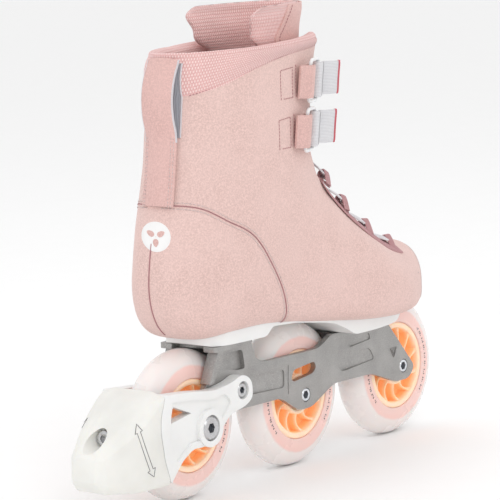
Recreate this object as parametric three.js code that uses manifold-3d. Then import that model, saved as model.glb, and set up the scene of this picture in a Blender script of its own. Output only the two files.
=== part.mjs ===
import * as THREE from 'three';
import { ConvexGeometry } from 'three/addons/geometries/ConvexGeometry.js';
import { mergeVertices } from 'three/addons/utils/BufferGeometryUtils.js';
import Module from 'manifold-3d';

const wasm = await Module();
wasm.setup();

// Driving sizes in millimetres. X runs to the toe, Y to the wearer's left, Z up.
const fit = 0.3;
const wheelRadius = 50;
const wheelHalfWidth = 11.7;
const axleGap = 116.5;
const hubRimRadius = 30.6;
const bearingRadius = 11;
const bearingBore = 4;
const bearingWidth = 7;
const spacerHalf = 5;
const plateOutside = 17.4;
const plateInside = 13.2;
const frontDeckZ = 86.6;
const rearDeckZ = 100.4;
const deckThick = 4;
const upperThick = 2.2;
const linerThick = 5.6;
const collarRim = 295;
const strapWidth = 24;
const strapGap = 8.5;
const upperStrapZ = 266.5;
const strapThick = 2;
const armOutside = 26.5;
const wellRadius = wheelRadius + 1.6;
const wellHalf = wheelHalfWidth + 1.8;

const armScrew = { x: -80.2, z: 68.4 };

const axleZ = wheelRadius;
const wheelX = { front: axleGap, middle: 0, rear: -axleGap };

const looks = {
  tyre: new THREE.MeshStandardMaterial({ color: 0xf2dcd8, roughness: 0.3 }),
  hub: new THREE.MeshStandardMaterial({ color: 0xffb982, roughness: 0.45 }),
  steel: new THREE.MeshStandardMaterial({ color: 0xa9adb0, roughness: 0.3, metalness: 0.9 }),
  cast: new THREE.MeshStandardMaterial({ color: 0x96948f, roughness: 0.6, metalness: 0.6 }),
  shell: new THREE.MeshStandardMaterial({ color: 0xeeeeec, roughness: 0.5 }),
  suede: new THREE.MeshStandardMaterial({ color: 0xe3c3bb, roughness: 0.95 }),
  mesh: new THREE.MeshStandardMaterial({ color: 0xecb4ac, roughness: 0.95 }),
  webbing: new THREE.MeshStandardMaterial({ color: 0xf1eef0, roughness: 0.85 }),
  trim: new THREE.MeshStandardMaterial({ color: 0xdba9a4, roughness: 0.9 }),
  foam: new THREE.MeshStandardMaterial({ color: 0x8f8a88, roughness: 0.95 }),
  pad: new THREE.MeshStandardMaterial({ color: 0xebeae5, roughness: 0.7 }),
};

const group = new THREE.Group();
group.name = 'inline_skate';

// ---- solid helpers ----

function signedVolume(pos, idx) {
  let total = 0;
  for (let i = 0; i < idx.length; i += 3) {
    const a = idx[i] * 3;
    const b = idx[i + 1] * 3;
    const c = idx[i + 2] * 3;
    total += pos[a] * (pos[b + 1] * pos[c + 2] - pos[b + 2] * pos[c + 1])
      - pos[a + 1] * (pos[b] * pos[c + 2] - pos[b + 2] * pos[c])
      + pos[a + 2] * (pos[b] * pos[c + 1] - pos[b + 1] * pos[c]);
  }
  return total;
}

// Welds a closed surface and turns it to face out.
function solid(geometry) {
  const bare = new THREE.BufferGeometry();
  bare.setAttribute('position', geometry.getAttribute('position').clone());
  if (geometry.index) bare.setIndex(geometry.index.clone());
  const welded = mergeVertices(bare, 1e-4);
  const pos = welded.getAttribute('position').array;
  const idx = [];
  const src = welded.index.array;
  for (let i = 0; i < src.length; i += 3) {
    if (src[i] === src[i + 1] || src[i + 1] === src[i + 2] || src[i] === src[i + 2]) continue;
    idx.push(src[i], src[i + 1], src[i + 2]);
  }
  if (signedVolume(pos, idx) < 0) {
    for (let i = 0; i < idx.length; i += 3) {
      const keep = idx[i + 1];
      idx[i + 1] = idx[i + 2];
      idx[i + 2] = keep;
    }
  }
  return new wasm.Manifold(new wasm.Mesh({
    numProp: 3,
    vertProperties: new Float32Array(pos),
    triVerts: new Uint32Array(idx),
  }));
}

function addPiece(name, body, look) {
  const mesh = body.simplify(0.08).getMesh();
  const geometry = new THREE.BufferGeometry();
  geometry.setAttribute('position', new THREE.BufferAttribute(new Float32Array(mesh.vertProperties), 3));
  geometry.setIndex(new THREE.BufferAttribute(new Uint32Array(mesh.triVerts), 1));
  geometry.computeVertexNormals();
  const piece = new THREE.Mesh(geometry, looks[look]);
  piece.name = name;
  group.add(piece);
}

// Flat shape through corner points [a, b, rounding].
function cornerShape(points) {
  const shape = new THREE.Shape();
  const n = points.length;
  points.forEach((p, i) => {
    const here = new THREE.Vector2(p[0], p[1]);
    const before = new THREE.Vector2(...points[(i + n - 1) % n].slice(0, 2)).sub(here);
    const after = new THREE.Vector2(...points[(i + 1) % n].slice(0, 2)).sub(here);
    const asked = p[2] > 1 ? p[2] : 0;
    const r = Math.min(asked, before.length() * 0.48, after.length() * 0.48);
    const start = here.clone().add(before.setLength(r));
    const end = here.clone().add(after.setLength(r));
    if (i === 0) shape.moveTo(start.x, start.y);
    else shape.lineTo(start.x, start.y);
    if (r > 0.01) shape.quadraticCurveTo(here.x, here.y, end.x, end.y);
  });
  shape.closePath();
  return shape;
}

// Side view outline (x, z) pushed across the skate from y0 to y1.
function sidePrism(points, y0, y1, steps = 2) {
  const geometry = new THREE.ExtrudeGeometry(cornerShape(points), {
    depth: y1 - y0, bevelEnabled: false, curveSegments: steps, steps: 1,
  });
  geometry.rotateX(Math.PI / 2);
  geometry.translate(0, y1, 0);
  return solid(geometry);
}

// Plan outline (x, y) pushed up from z0 to z1.
function planPrism(points, z0, z1, steps = 3) {
  const geometry = new THREE.ExtrudeGeometry(cornerShape(points), {
    depth: z1 - z0, bevelEnabled: false, curveSegments: steps, steps: 1,
  });
  geometry.translate(0, 0, z0);
  return solid(geometry);
}

function block(x0, x1, y0, y1, z0, z1) {
  const geometry = new THREE.BoxGeometry(x1 - x0, y1 - y0, z1 - z0);
  geometry.translate((x0 + x1) / 2, (y0 + y1) / 2, (z0 + z1) / 2);
  return solid(geometry);
}

function rodY(radius, y0, y1, x, z, sides = 16) {
  const geometry = new THREE.CylinderGeometry(radius, radius, y1 - y0, sides);
  geometry.translate(x, (y0 + y1) / 2, z);
  return solid(geometry);
}

function rodZ(radius, z0, z1, x, y, sides = 14) {
  const geometry = new THREE.CylinderGeometry(radius, radius, z1 - z0, sides);
  geometry.rotateX(Math.PI / 2);
  geometry.translate(x, y, (z0 + z1) / 2);
  return solid(geometry);
}

function rodX(radius, x0, x1, y, z, sides = 14) {
  const geometry = new THREE.CylinderGeometry(radius, radius, x1 - x0, sides);
  geometry.rotateZ(Math.PI / 2);
  geometry.translate((x0 + x1) / 2, y, z);
  return solid(geometry);
}

// Closed ring turned about a line along Y through (x, z); profile is [radius, y].
function turned(profile, x, z, sides) {
  const points = profile.map((p) => new THREE.Vector2(p[0], p[1]));
  points.push(points[0].clone());
  const geometry = new THREE.LatheGeometry(points, sides);
  geometry.translate(x, 0, z);
  return solid(geometry);
}

// Skin through rings of equal length, closed at both ends. A leaf's ends are closed straight
// across from its outer line to its inner line.
function loft(rings, leaf = false) {
  const count = rings[0].length;
  const pos = [];
  const idx = [];
  rings.forEach((ring) => ring.forEach((p) => pos.push(p.x, p.y, p.z)));
  for (let r = 0; r + 1 < rings.length; r += 1) {
    for (let i = 0; i < count; i += 1) {
      const a = r * count + i;
      const b = r * count + (i + 1) % count;
      idx.push(a, b, a + count, b, b + count, a + count);
    }
  }
  [0, rings.length - 1].forEach((r) => {
    if (leaf) {
      for (let i = 0; i + 1 < count / 2; i += 1) {
        const [a, b] = [r * count + i, r * count + i + 1];
        const [c, d] = [r * count + count - 2 - i, r * count + count - 1 - i];
        if (r === 0) idx.push(a, c, b, a, d, c);
        else idx.push(a, b, c, a, c, d);
      }
      return;
    }
    const middle = new THREE.Vector3();
    rings[r].forEach((p) => middle.add(p));
    middle.divideScalar(count);
    const centre = pos.length / 3;
    pos.push(middle.x, middle.y, middle.z);
    for (let i = 0; i < count; i += 1) {
      const a = r * count + i;
      const b = r * count + (i + 1) % count;
      if (r === 0) idx.push(centre, b, a);
      else idx.push(centre, a, b);
    }
  });
  const geometry = new THREE.BufferGeometry();
  geometry.setAttribute('position', new THREE.Float32BufferAttribute(pos, 3));
  geometry.setIndex(idx);
  return solid(geometry);
}

// Flat band of one width and thickness along a route; up is the band's outer face.
function band(route, width, thick) {
  const rings = route.map((step, i) => {
    const before = route[Math.max(i - 1, 0)].at;
    const after = route[Math.min(i + 1, route.length - 1)].at;
    const along = after.clone().sub(before).normalize();
    const up = step.up.clone().sub(along.clone().multiplyScalar(step.up.dot(along))).normalize();
    const side = new THREE.Vector3().crossVectors(along, up);
    const w = (step.width || width) / 2;
    const t = (step.thick || thick) / 2;
    const corner = (a, b) => step.at.clone().addScaledVector(side, a).addScaledVector(up, b);
    if (thick < 1.3) return [corner(-w, -t), corner(-w, t), corner(w, t), corner(w, -t)];
    return [
      corner(-w, -t * 0.5), corner(-w, t * 0.5), corner(-w + t * 0.6, t), corner(w - t * 0.6, t),
      corner(w, t * 0.5), corner(w, -t * 0.5), corner(w - t * 0.6, -t), corner(-w + t * 0.6, -t),
    ];
  });
  return loft(rings);
}

const vec = (x, y, z) => new THREE.Vector3(x, y, z);

// ---- wheels ----

function tyre(x) {
  const profile = [];
  const steps = 8;
  for (let i = 0; i <= steps; i += 1) {
    const a = -Math.PI / 2 + (Math.PI * i) / steps;
    const reach = Math.pow(Math.abs(Math.cos(a)), 0.79);
    const radius = hubRimRadius + fit + 0.7 + (wheelRadius - hubRimRadius - fit - 0.7) * reach;
    profile.push([radius, wheelHalfWidth * Math.sin(a)]);
  }
  profile.push([hubRimRadius + fit, wheelHalfWidth - 0.6]);
  profile.push([hubRimRadius + fit, -wheelHalfWidth + 0.6]);
  return turned(profile, x, axleZ, 28);
}

function hub(x) {
  const face = wheelHalfWidth - 0.6;
  const rim = turned([
    [hubRimRadius, face], [hubRimRadius, -face], [hubRimRadius - 3.6, -face], [hubRimRadius - 5.2, 0],
    [hubRimRadius - 3.6, face],
  ], x, axleZ, 22);
  const core = turned([
    [bearingRadius + 2.8, face], [bearingRadius + 2.8, -face], [bearingRadius - 1.5, -face],
    [bearingRadius - 1.5, face],
  ], x, axleZ, 22);
  let body = rim.add(core);
  const spokes = 11;
  for (let i = 0; i < spokes; i += 1) {
    const turn = (Math.PI * 2 * i) / spokes;
    const bend = 0.2;
    const inner = bearingRadius + 1.6;
    const outer = hubRimRadius - 4;
    const at = (r, a) => [r * Math.cos(a), r * Math.sin(a)];
    const spoke = sidePrism([
      at(inner, turn - 0.1), at(outer, turn + bend - 0.075), at(outer, turn + bend + 0.075),
      at(inner, turn + 0.1),
    ], -8.2, 8.2, 1);
    body = body.add(spoke.translate([x, 0, axleZ]));
  }
  const seat = bearingRadius + fit;
  const bore = rodY(bearingRadius - 2, -wheelHalfWidth, wheelHalfWidth, x, axleZ, 22);
  const left = rodY(seat, spacerHalf, wheelHalfWidth + 1, x, axleZ, 22);
  const right = rodY(seat, -wheelHalfWidth - 1, -spacerHalf, x, axleZ, 22);
  return body.subtract(bore).subtract(left).subtract(right);
}

function bearing(x, side) {
  const inner = spacerHalf + fit;
  const outer = inner + bearingWidth - fit;
  const flip = (points) => points.map((p) => [p[0], p[1] * side]);
  return turned(flip([
    [bearingBore, inner], [bearingRadius, inner], [bearingRadius, outer], [bearingRadius - 1.8, outer],
    [bearingRadius - 2.2, outer - 0.6], [bearingBore + 2.4, outer - 0.6], [bearingBore + 2, outer],
    [bearingBore, outer],
  ]), x, axleZ, 14);
}

function spacer(x) {
  return turned([
    [bearingBore, spacerHalf], [bearingBore + 2.4, spacerHalf], [bearingBore + 2.4, -spacerHalf],
    [bearingBore, -spacerHalf],
  ], x, axleZ, 18);
}

// Screw along Y with its head on the right side of the skate.
function axle(x, headRadius, headThick, headFace, tail) {
  const shank = bearingBore - fit;
  const head = rodY(headRadius, headFace, headFace + headThick, x, axleZ, 24);
  const body = head.add(rodY(shank, headFace + headThick / 2, tail, x, axleZ));
  return body.subtract(rodY(2.9, headFace - 1, headFace + headThick * 0.7, x, axleZ, 6));
}

// ---- frame ----

const plateOutline = [
  [130.5, 47.5, 5], [98, 84.6, 2], [97, frontDeckZ, 0.5], [31, frontDeckZ, 3], [17, 79.4, 8],
  [-45, 80.6, 8], [-55, 85, 5], [-59, rearDeckZ, 0.5], [-95, rearDeckZ, 0.5], [-109, 72, 6],
  [-128, 56, 6], [-127, 44, 6], [-117, 39, 5], [-104, 41, 6], [-92, 51.6, 8], [-72, 53.4, 4],
  [-28, 52.6, 5], [-17, 45.6, 4], [-8, 40.6, 4], [6, 40.6, 4], [22, 47.6, 5], [33, 52.2, 5],
  [78, 51, 6], [93, 45.2, 5], [106, 40.3, 4], [122, 40, 4],
];
const deckBolts = { frontLeft: [68, 7], frontRight: [68, -7], rear: [-76, 0] };

function frameBody() {
  let body = sidePrism(plateOutline, plateInside, plateOutside)
    .add(sidePrism(plateOutline, -plateOutside, -plateInside));
  // Decks the boot stands on, with their wider rims.
  body = body.add(planPrism([
    [31, -plateOutside, 2], [97, -plateOutside - 2.6, 3], [97, plateOutside + 2.6, 3], [31, plateOutside, 2],
  ], frontDeckZ - deckThick, frontDeckZ));
  body = body.add(planPrism([
    [-59, -plateOutside - 2.6, 2], [-94, -plateOutside - 6.4, 2], [-104, -plateOutside - 6.4, 3],
    [-104, -plateInside, 1], [-95, -plateInside, 1], [-95, plateInside, 1], [-104, plateInside, 1],
    [-104, plateOutside + 6.4, 3], [-94, plateOutside + 6.4, 2], [-59, plateOutside + 2.6, 2],
  ], rearDeckZ - deckThick + 0.4, rearDeckZ));
  // Sloping flange down the rear strut.
  [-1, 1].forEach((side) => {
    const y0 = side > 0 ? plateInside + 0.5 : -plateOutside - 4.4;
    const y1 = side > 0 ? plateOutside + 4.4 : -plateInside - 0.5;
    body = body.add(sidePrism([
      [-91, rearDeckZ - 0.3, 1], [-97.5, rearDeckZ - 0.3, 1], [-109.4, 76.4, 1], [-104.6, 76.4, 1],
    ], y0, y1));
  });
  // Cross webs between the wheels.
  body = body.add(sidePrism([[48, 84, 1], [56, 84, 1], [57, 66, 1], [53, 66, 1]], -14, 14));
  body = body.add(sidePrism([[-64, 98, 1], [-52, 79, 1], [-56.4, 66, 1], [-60.6, 66, 1]], -14, 14));
  body = body.subtract(wheelWells(plateInside - 0.1));
  // Axle bosses inside the plates.
  Object.values(wheelX).forEach((x) => {
    body = body.add(rodY(7.5, plateInside - 0.75, plateInside + 1, x, axleZ));
    body = body.add(rodY(7.5, -plateInside - 1, -plateInside + 0.75, x, axleZ));
  });
  // Windows and shallow pockets in each plate.
  const slotWindow = [[-16, 63.2, 3], [-13, 61.4, 3], [9, 63.6, 3], [12.6, 67, 3], [10.6, 71.4, 3], [-13, 69.4, 3]];
  const frontPocket = [[38.5, 62, 2], [44, 59.4, 3], [79.5, 61, 3], [72, 69.5, 4], [42, 71.4, 4]];
  const rearPocket = [[-61, 62.4, 2], [-25, 60.6, 3], [-24.5, 71, 3], [-57, 72.6, 3]];
  const strutPocket = [[-66, 80, 2], [-68, 93, 3], [-86, 93, 3], [-92, 84, 3], [-74, 80, 2]];
  const frontEye = [[50, 75.6, 2], [53, 73.4, 2], [77, 75.6, 2], [76, 80.6, 2], [52, 79.8, 2]];
  body = body.subtract(sidePrism(slotWindow, -20, 20));
  [-1, 1].forEach((side) => {
    const deep = side > 0 ? [plateOutside - 1.8, plateOutside + 3] : [-plateOutside - 3, -plateOutside + 1.8];
    [frontPocket, rearPocket, strutPocket, frontEye].forEach((shape) => {
      body = body.subtract(sidePrism(shape, deep[0], deep[1], 1));
    });
    const boss = side > 0 ? [plateOutside - 2, plateOutside - 0.4] : [-plateOutside + 0.4, -plateOutside + 2];
    body = body.add(sidePrism([[48, 60, 1], [64, 60, 1], [66, 66, 3], [57, 69.6, 5], [46, 66, 3]], boss[0], boss[1]));
  });
  // Screw holes.
  [wheelX.front, wheelX.middle].forEach((x) => {
    body = body.subtract(rodY(bearingBore, -20, 20, x, axleZ));
    body = body.subtract(rodY(4.6 + fit, -20, -plateOutside + 2.2 + fit, x, axleZ, 24));
  });
  body = body.subtract(rodY(bearingBore, -24, 24, wheelX.rear, axleZ));
  body = body.subtract(rodY(2.5 + fit, -24, 24, armScrew.x, armScrew.z));
  Object.values(deckBolts).forEach(([x, y]) => {
    body = body.subtract(rodZ(3 + fit, 70, 110, x, y));
  });
  return body;
}

function deckBolt([x, y], deckBase, tip) {
  const head = rodZ(5, deckBase - fit - 4, deckBase - fit, x, y);
  const body = head.add(rodZ(3, deckBase - fit - 1, tip, x, y));
  return body.subtract(rodZ(2.5, deckBase - fit - 5, deckBase - fit - 1.4, x, y, 6));
}

// ---- boot ----

// Each ring: back or bottom point, front or top point, half width, sideways shift,
// where it is widest, and how square its two halves are.
const bootRings = [
  [149.0, 111.0, 149.6, 122.0, 6.5, 5.6, 0.45, 2.4, 2.2],
  [147.0, 104.0, 148.0, 129.0, 12.5, 5.6, 0.44, 2.8, 2.2],
  [142.0, 98.2, 143.2, 134.6, 20.0, 5.4, 0.42, 3.4, 2.2],
  [133.0, 94.0, 134.2, 138.2, 28.0, 4.8, 0.40, 4.0, 2.2],
  [120.0, 92.0, 121.0, 139.0, 36.0, 4.0, 0.38, 4.5, 2.2],
  [103.0, 91.6, 104.0, 141.2, 43.0, 2.8, 0.37, 4.8, 2.15],
  [84.0, 92.0, 87.0, 147.6, 47.0, 1.6, 0.36, 5.0, 2.1],
  [64.0, 93.2, 71.5, 157.0, 48.0, 0.8, 0.35, 5.0, 2.1],
  [42.0, 95.2, 57.5, 167.6, 47.0, 0.4, 0.34, 5.0, 2.1],
  [19.0, 98.0, 45.5, 178.6, 44.5, 0.0, 0.34, 5.0, 2.1],
  [-5.0, 100.6, 35.8, 189.4, 42.5, 0.0, 0.35, 4.8, 2.1],
  [-29.0, 103.6, 28.0, 199.6, 41.0, 0.0, 0.37, 4.6, 2.1],
  [-53.0, 105.8, 22.8, 209.0, 40.0, 0.0, 0.40, 4.4, 2.1],
  [-77.0, 106.2, 20.0, 218.0, 39.6, 0.0, 0.43, 4.1, 2.1],
  [-98.0, 105.6, 19.4, 226.6, 39.6, 0.0, 0.46, 3.8, 2.1],
  [-115.0, 106.6, 20.0, 234.6, 39.6, 0.0, 0.48, 3.5, 2.1],
  [-128.0, 112.6, 21.4, 242.2, 39.4, 0.0, 0.5, 3.1, 2.1],
  [-136.4, 124.4, 23.0, 249.4, 39.0, 0.0, 0.5, 2.8, 2.1],
  [-139.8, 141.4, 24.4, 256.4, 38.8, 0.0, 0.5, 2.5, 2.1],
  [-137.4, 163.0, 26.0, 263.6, 38.6, 0.0, 0.5, 2.35, 2.1],
  [-133.0, 187.0, 27.4, 270.6, 38.4, 0.0, 0.5, 2.2, 2.1],
  [-128.0, 213.0, 28.8, 277.2, 38.2, 0.0, 0.5, 2.1, 2.1],
  [-124.0, 240.0, 30.0, 283.4, 38.0, 0.0, 0.5, 2.1, 2.1],
  [-120.6, 267.0, 31.2, 289.4, 38.0, 0.0, 0.5, 2.1, 2.1],
  [-117.6, 289.0, 32.0, 293.0, 37.4, 0.0, 0.5, 2.1, 2.1],
  [-115.4, 294.6, 30.6, 296.0, 35.4, 0.0, 0.5, 2.1, 2.1],
];
const ringPoints = 20;

// Point on the boot at a fractional ring and an angle from its front line, drawn in by inset.
function bootSpot(ringAt, angle, inset, lift = 0) {
  const low = Math.min(Math.floor(ringAt), bootRings.length - 2);
  const part = ringAt - low;
  const row = bootRings[low].map((value, k) => value + (bootRings[low + 1][k] - value) * part);
  const [ax, az, bx, bz, half, shift, widest, squareA, squareB] = row;
  const tip = Math.max(0, 1 - ringAt / 5) * inset;
  const back = vec(ax - tip, 0, az + lift);
  const front = vec(bx - tip, 0, bz + lift);
  const along = front.clone().sub(back);
  const full = along.length();
  along.normalize();
  const cut = Math.min(inset, full * 0.36);
  const length = full - 2 * cut;
  const w = Math.max(half - inset, half * 0.4);
  const c = Math.cos(angle);
  const s = Math.sin(angle);
  const square = c < 0 ? squareA : squareB;
  const reach = c < 0 ? length * widest : length * (1 - widest);
  const run = cut + length * widest + Math.sign(c) * Math.pow(Math.abs(c), 2 / square) * reach;
  const across = Math.sign(s) * Math.pow(Math.abs(s), 2 / square) * w;
  return back.addScaledVector(along, run).add(vec(0, across + shift, 0));
}

function bootRing(index, inset, lift = 0) {
  const ring = [];
  for (let i = 0; i < ringPoints; i += 1) {
    ring.push(bootSpot(index, (2 * Math.PI * i) / ringPoints, inset, lift));
  }
  return ring;
}

// The boot's outer form drawn in by inset, run up past the rim by extra.
function bootForm(inset, extra) {
  const rings = bootRings.map((row, i) => bootRing(i, inset));
  const last = bootRings.length - 1;
  if (extra > 0) rings.push(bootRing(last, inset, extra));
  return loft(rings);
}

// Side view lines that cut the boot.
const suedeEdge = [
  [-170, 262], [-130, 263.5], [-112, 267], [-92, 273], [-65, 281], [-40, 286], [-15, 288.5],
  [12, 289.5], [60, 290],
];

function aboveSuede(rise) {
  const points = suedeEdge.map(([x, z]) => [x, z + rise]);
  return sidePrism([...points, [60, 360], [-170, 360]], -80, 80);
}

// Opening down the front of the boot for the tongue.
function throat(grow) {
  const side = sidePrism([
    [116 + grow, 128], [116 + grow, 170], [75, 230], [75, 340], [-16, 340], [-16, 262],
    [-10, 214], [12, 178], [60, 138],
  ], -60, 60);
  const plan = planPrism([
    [116 + grow, -9 - grow, 8], [60, -17 - grow, 12], [20, -20 - grow, 10], [-20, -20 - grow, 0],
    [-20, 20 + grow, 0], [20, 20 + grow, 10], [60, 17 + grow, 12], [116 + grow, 9 + grow, 8],
  ], 100, 350);
  return side.intersect(plan);
}

// Sole outline seen from above, pushed out by grow.
function solePlan(grow) {
  const rows = [
    [-112, 8], [-106, 18], [-94, 25.5], [-62, 29], [-20, 31], [20, 33], [60, 35.5], [84, 33], [100, 27],
    [114, 21], [126, 12],
  ];
  const upper = rows.map(([x, y], i) => [x + (i === 0 ? -grow : 0) + (i > 8 ? grow : 0), y + grow + x * 0.012]);
  const lower = rows.map(([x, y], i) => [x + (i === 0 ? -grow : 0) + (i > 8 ? grow : 0), -y - grow + x * 0.012]);
  return planPrism([...upper, ...lower.reverse()], 70, 140, 2);
}

const soleUnder = [
  [-121, 104.6], [-112, 103.4], [-104, rearDeckZ + fit], [-57, rearDeckZ + fit], [-50, 106.5],
  [-26, 105], [-10, 102.6], [4, 100.4], [16, 98], [28, 92.5], [38, frontDeckZ + fit], [98, frontDeckZ + fit],
  [112, 91.5], [124, 95], [134, 99],
];
const soleTop = [
  [134, 106], [118, 104], [100, 104], [80, 104.6], [60, 105.6], [40, 107], [0, 110], [-40, 113], [-80, 114.2],
  [-121, 114.2],
];

function soleForm(grow) {
  const under = soleUnder.map(([x, z]) => [x, z - grow, 1]);
  const top = soleTop.map(([x, z]) => [x, z + grow, 1]);
  return sidePrism([...under, ...top], -60, 60, 1).intersect(solePlan(grow));
}

function wheelWells(half) {
  const wells = Object.values(wheelX).map((x) => rodY(wellRadius, -half, half, x, axleZ, 26));
  return wells[0].add(wells[1]).add(wells[2]);
}

function soleBase() {
  let body = soleForm(0).subtract(wheelWells(wellHalf));
  // Hollows that keep the moulded blocks light, open underneath.
  body = body.subtract(planPrism([[40, -26, 4], [58, -27, 4], [58, -8, 4], [40, -8, 4]], 80, 99));
  body = body.subtract(planPrism([[40, 8, 4], [58, 8, 4], [58, 27, 4], [40, 26, 4]], 80, 99));
  Object.values(deckBolts).forEach(([x, y]) => {
    body = body.subtract(rodZ(3 + fit, 80, x < 0 ? 110 : 100, x, y));
  });
  return body;
}

// The upper stops at the sole's edge, so nothing hangs loose under the sole.
function underSole() {
  return sidePrism([[-130, 70], [134, 70], [134, 103], [-130, 111]], -60, 60).intersect(solePlan(fit));
}

function bootUpper(outer, inner) {
  return outer.subtract(inner).subtract(soleForm(fit)).subtract(underSole()).subtract(aboveSuede(0)).subtract(throat(0))
    .subtract(wheelWells(wellHalf));
}

function bootLiner(inside) {
  const under = bootForm(upperThick + fit, 0).subtract(aboveSuede(-fit));
  const collar = bootForm(0, 0).intersect(aboveSuede(fit));
  const joined = under.add(bootForm(upperThick + fit, 0)).add(collar);
  return joined.subtract(inside).subtract(soleForm(fit)).subtract(throat(2)).subtract(wheelWells(wellHalf));
}

function footbed() {
  const rise = (pts, dz) => pts.map(([x, z]) => [x, z + dz, 1]);
  const top = soleTop.filter(([x]) => x > -118 && x < 130);
  const side = sidePrism([...rise(top, fit * 2), ...rise(top, 4.4).reverse()], -60, 60, 1);
  return side.intersect(bootForm(upperThick + linerThick + 2 * fit + 0.4, 0)).subtract(throat(4));
}

// Tongue: a curved leaf from the toes up past the collar, [x, z, wrap angle, wide, deep], where
// wide and deep are the half axes of the oval that the leaf wraps round the leg.
const tonguePath = [
  [104, 133.4, 0.3, 44, 44], [90, 137.3, 0.47, 38, 38], [73, 145, 0.62, 34, 34], [57, 155.6, 0.74, 31, 31],
  [43, 167, 0.86, 28, 28], [30.5, 178.5, 0.96, 26, 26], [19.5, 191, 1.04, 24, 24], [11.6, 204.5, 1.14, 22, 22],
  [9, 219, 1.19, 21, 21], [10.2, 234, 1.19, 21, 21], [12.6, 250, 1.2, 22, 24], [15, 266, 1.25, 24, 32],
  [18, 281, 1.5, 25.6, 48], [20.6, 294, 1.74, 26, 61], [22, 303, 1.78, 26.4, 63], [22.8, 312, 1.8, 30, 65],
  [22.6, 318, 1.62, 30.5, 65],
];
const tongueThick = 7;

function tongue() {
  const across = 13;
  const rings = tonguePath.map(([x, z, wrap, wide, deep], i) => {
    const a = tonguePath[Math.max(i - 1, 0)];
    const b = tonguePath[Math.min(i + 1, tonguePath.length - 1)];
    const along = vec(b[0] - a[0], 0, b[1] - a[1]).normalize();
    const inward = vec(-along.z, 0, along.x);
    if (z > 260) inward.set(-1, 0, 0);
    const line = (thick) => {
      const points = [];
      for (let k = 0; k < across; k += 1) {
        const u = (2 * k) / (across - 1) - 1;
        const cut = thick * (1 - 0.45 * Math.pow(Math.abs(u), 6));
        points.push(vec(x, (wide - cut) * Math.sin(wrap * u), z)
          .addScaledVector(inward, deep - (deep - cut) * Math.cos(wrap * u)));
      }
      return points;
    };
    return [...line(0.2), ...line(tongueThick).reverse()];
  });
  return loft(rings, true);
}

// Place on the cuff at height z and an angle from its front, standing out from the surface.
function cuffSpot(z, angle, out) {
  const backLean = 0.125;
  const frontLean = 0.19;
  const back = -117.6 - (collarRim - z) * backLean;
  const front = 31.8 - (collarRim - z) * frontLean;
  const reach = (front - back) / 2;
  const round = (value) => Math.sign(value) * Math.pow(Math.abs(value), 2 / 2.1);
  const spot = (turn) => vec((front + back) / 2 + reach * round(Math.cos(turn)), 38.2 * round(Math.sin(turn)), z);
  const run = spot(angle + 0.04).sub(spot(angle - 0.04)).normalize();
  const lean = angle > -1.57 && angle < 1.57 ? -frontLean * Math.cos(angle) : backLean * Math.cos(angle);
  const up = vec(run.y, -run.x, lean).normalize();
  return { at: spot(angle).addScaledVector(up, out), up };
}

// ---- straps on the cuff ----

const straps = {
  upper: { z: upperStrapZ, buckle: -0.98 }, lower: { z: upperStrapZ - strapWidth - strapGap, buckle: -0.98 },
};
const barReach = 8;
const barOut = 4.8;
const barTurn = 2.8;
const ringWall = 2.4;

// Frame of a buckle: forward runs round the cuff, up points away from it.
function buckleFrame(strap) {
  const spot = cuffSpot(strap.z, strap.buckle, 0);
  const forward = vec(-spot.up.y, spot.up.x, 0).normalize();
  const high = vec(0, 0, 1).addScaledVector(spot.up, -spot.up.z).normalize();
  const place = (along, out, height = 0) => spot.at.clone().addScaledVector(forward, along)
    .addScaledVector(spot.up, out).addScaledVector(high, height);
  return { spot, forward, high, place };
}

function ribbonPath(frame, steps) {
  return steps.map(([along, out, turn]) => ({
    at: frame.place(along, out),
    up: frame.spot.up.clone().multiplyScalar(Math.cos(turn)).addScaledVector(frame.forward, Math.sin(turn)),
  }));
}

function strapRing(strap) {
  const frame = buckleFrame(strap);
  const long = barReach + ringWall / 2;
  const tall = strapWidth / 2 + 0.8 + ringWall;
  const outline = cornerShape([[-long, -tall, 4], [long, -tall, 4], [long, tall, 4], [-long, tall, 4]]);
  const inLong = long - ringWall;
  const inTall = tall - ringWall;
  const hole = cornerShape([[-inLong, -inTall, 2], [-inLong, inTall, 2], [inLong, inTall, 2], [inLong, -inTall, 2]]);
  outline.holes.push(hole);
  const geometry = new THREE.ExtrudeGeometry(outline, { depth: 2.4, bevelEnabled: false, curveSegments: 3 });
  geometry.translate(0, 0, -1.2);
  const basis = new THREE.Matrix4().makeBasis(frame.forward, frame.high, frame.forward.clone().cross(frame.high));
  basis.setPosition(frame.place(0, barOut));
  geometry.applyMatrix4(basis);
  return solid(geometry);
}

function roundBar(centre, direction) {
  const steps = [];
  for (let k = 0; k <= 6; k += 1) {
    const a = -Math.PI / 2 + (Math.PI * k) / 6;
    const turn = direction * (Math.PI / 2 + a);
    steps.push([centre + direction * barTurn * Math.cos(a), barOut + barTurn * Math.sin(a), Math.PI - turn]);
  }
  return steps;
}

function strapTab(strap) {
  const frame = buckleFrame(strap);
  return band(ribbonPath(frame, [
    [-15, 2, Math.PI], ...roundBar(-barReach, 1), [-12.4, 6.9, -0.25], [-17, 4.6, -0.5], [-21.6, 2.2, -0.25],
    [-24.5, 1.5, 0],
  ]), strapWidth - 2, 1.5);
}

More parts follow.
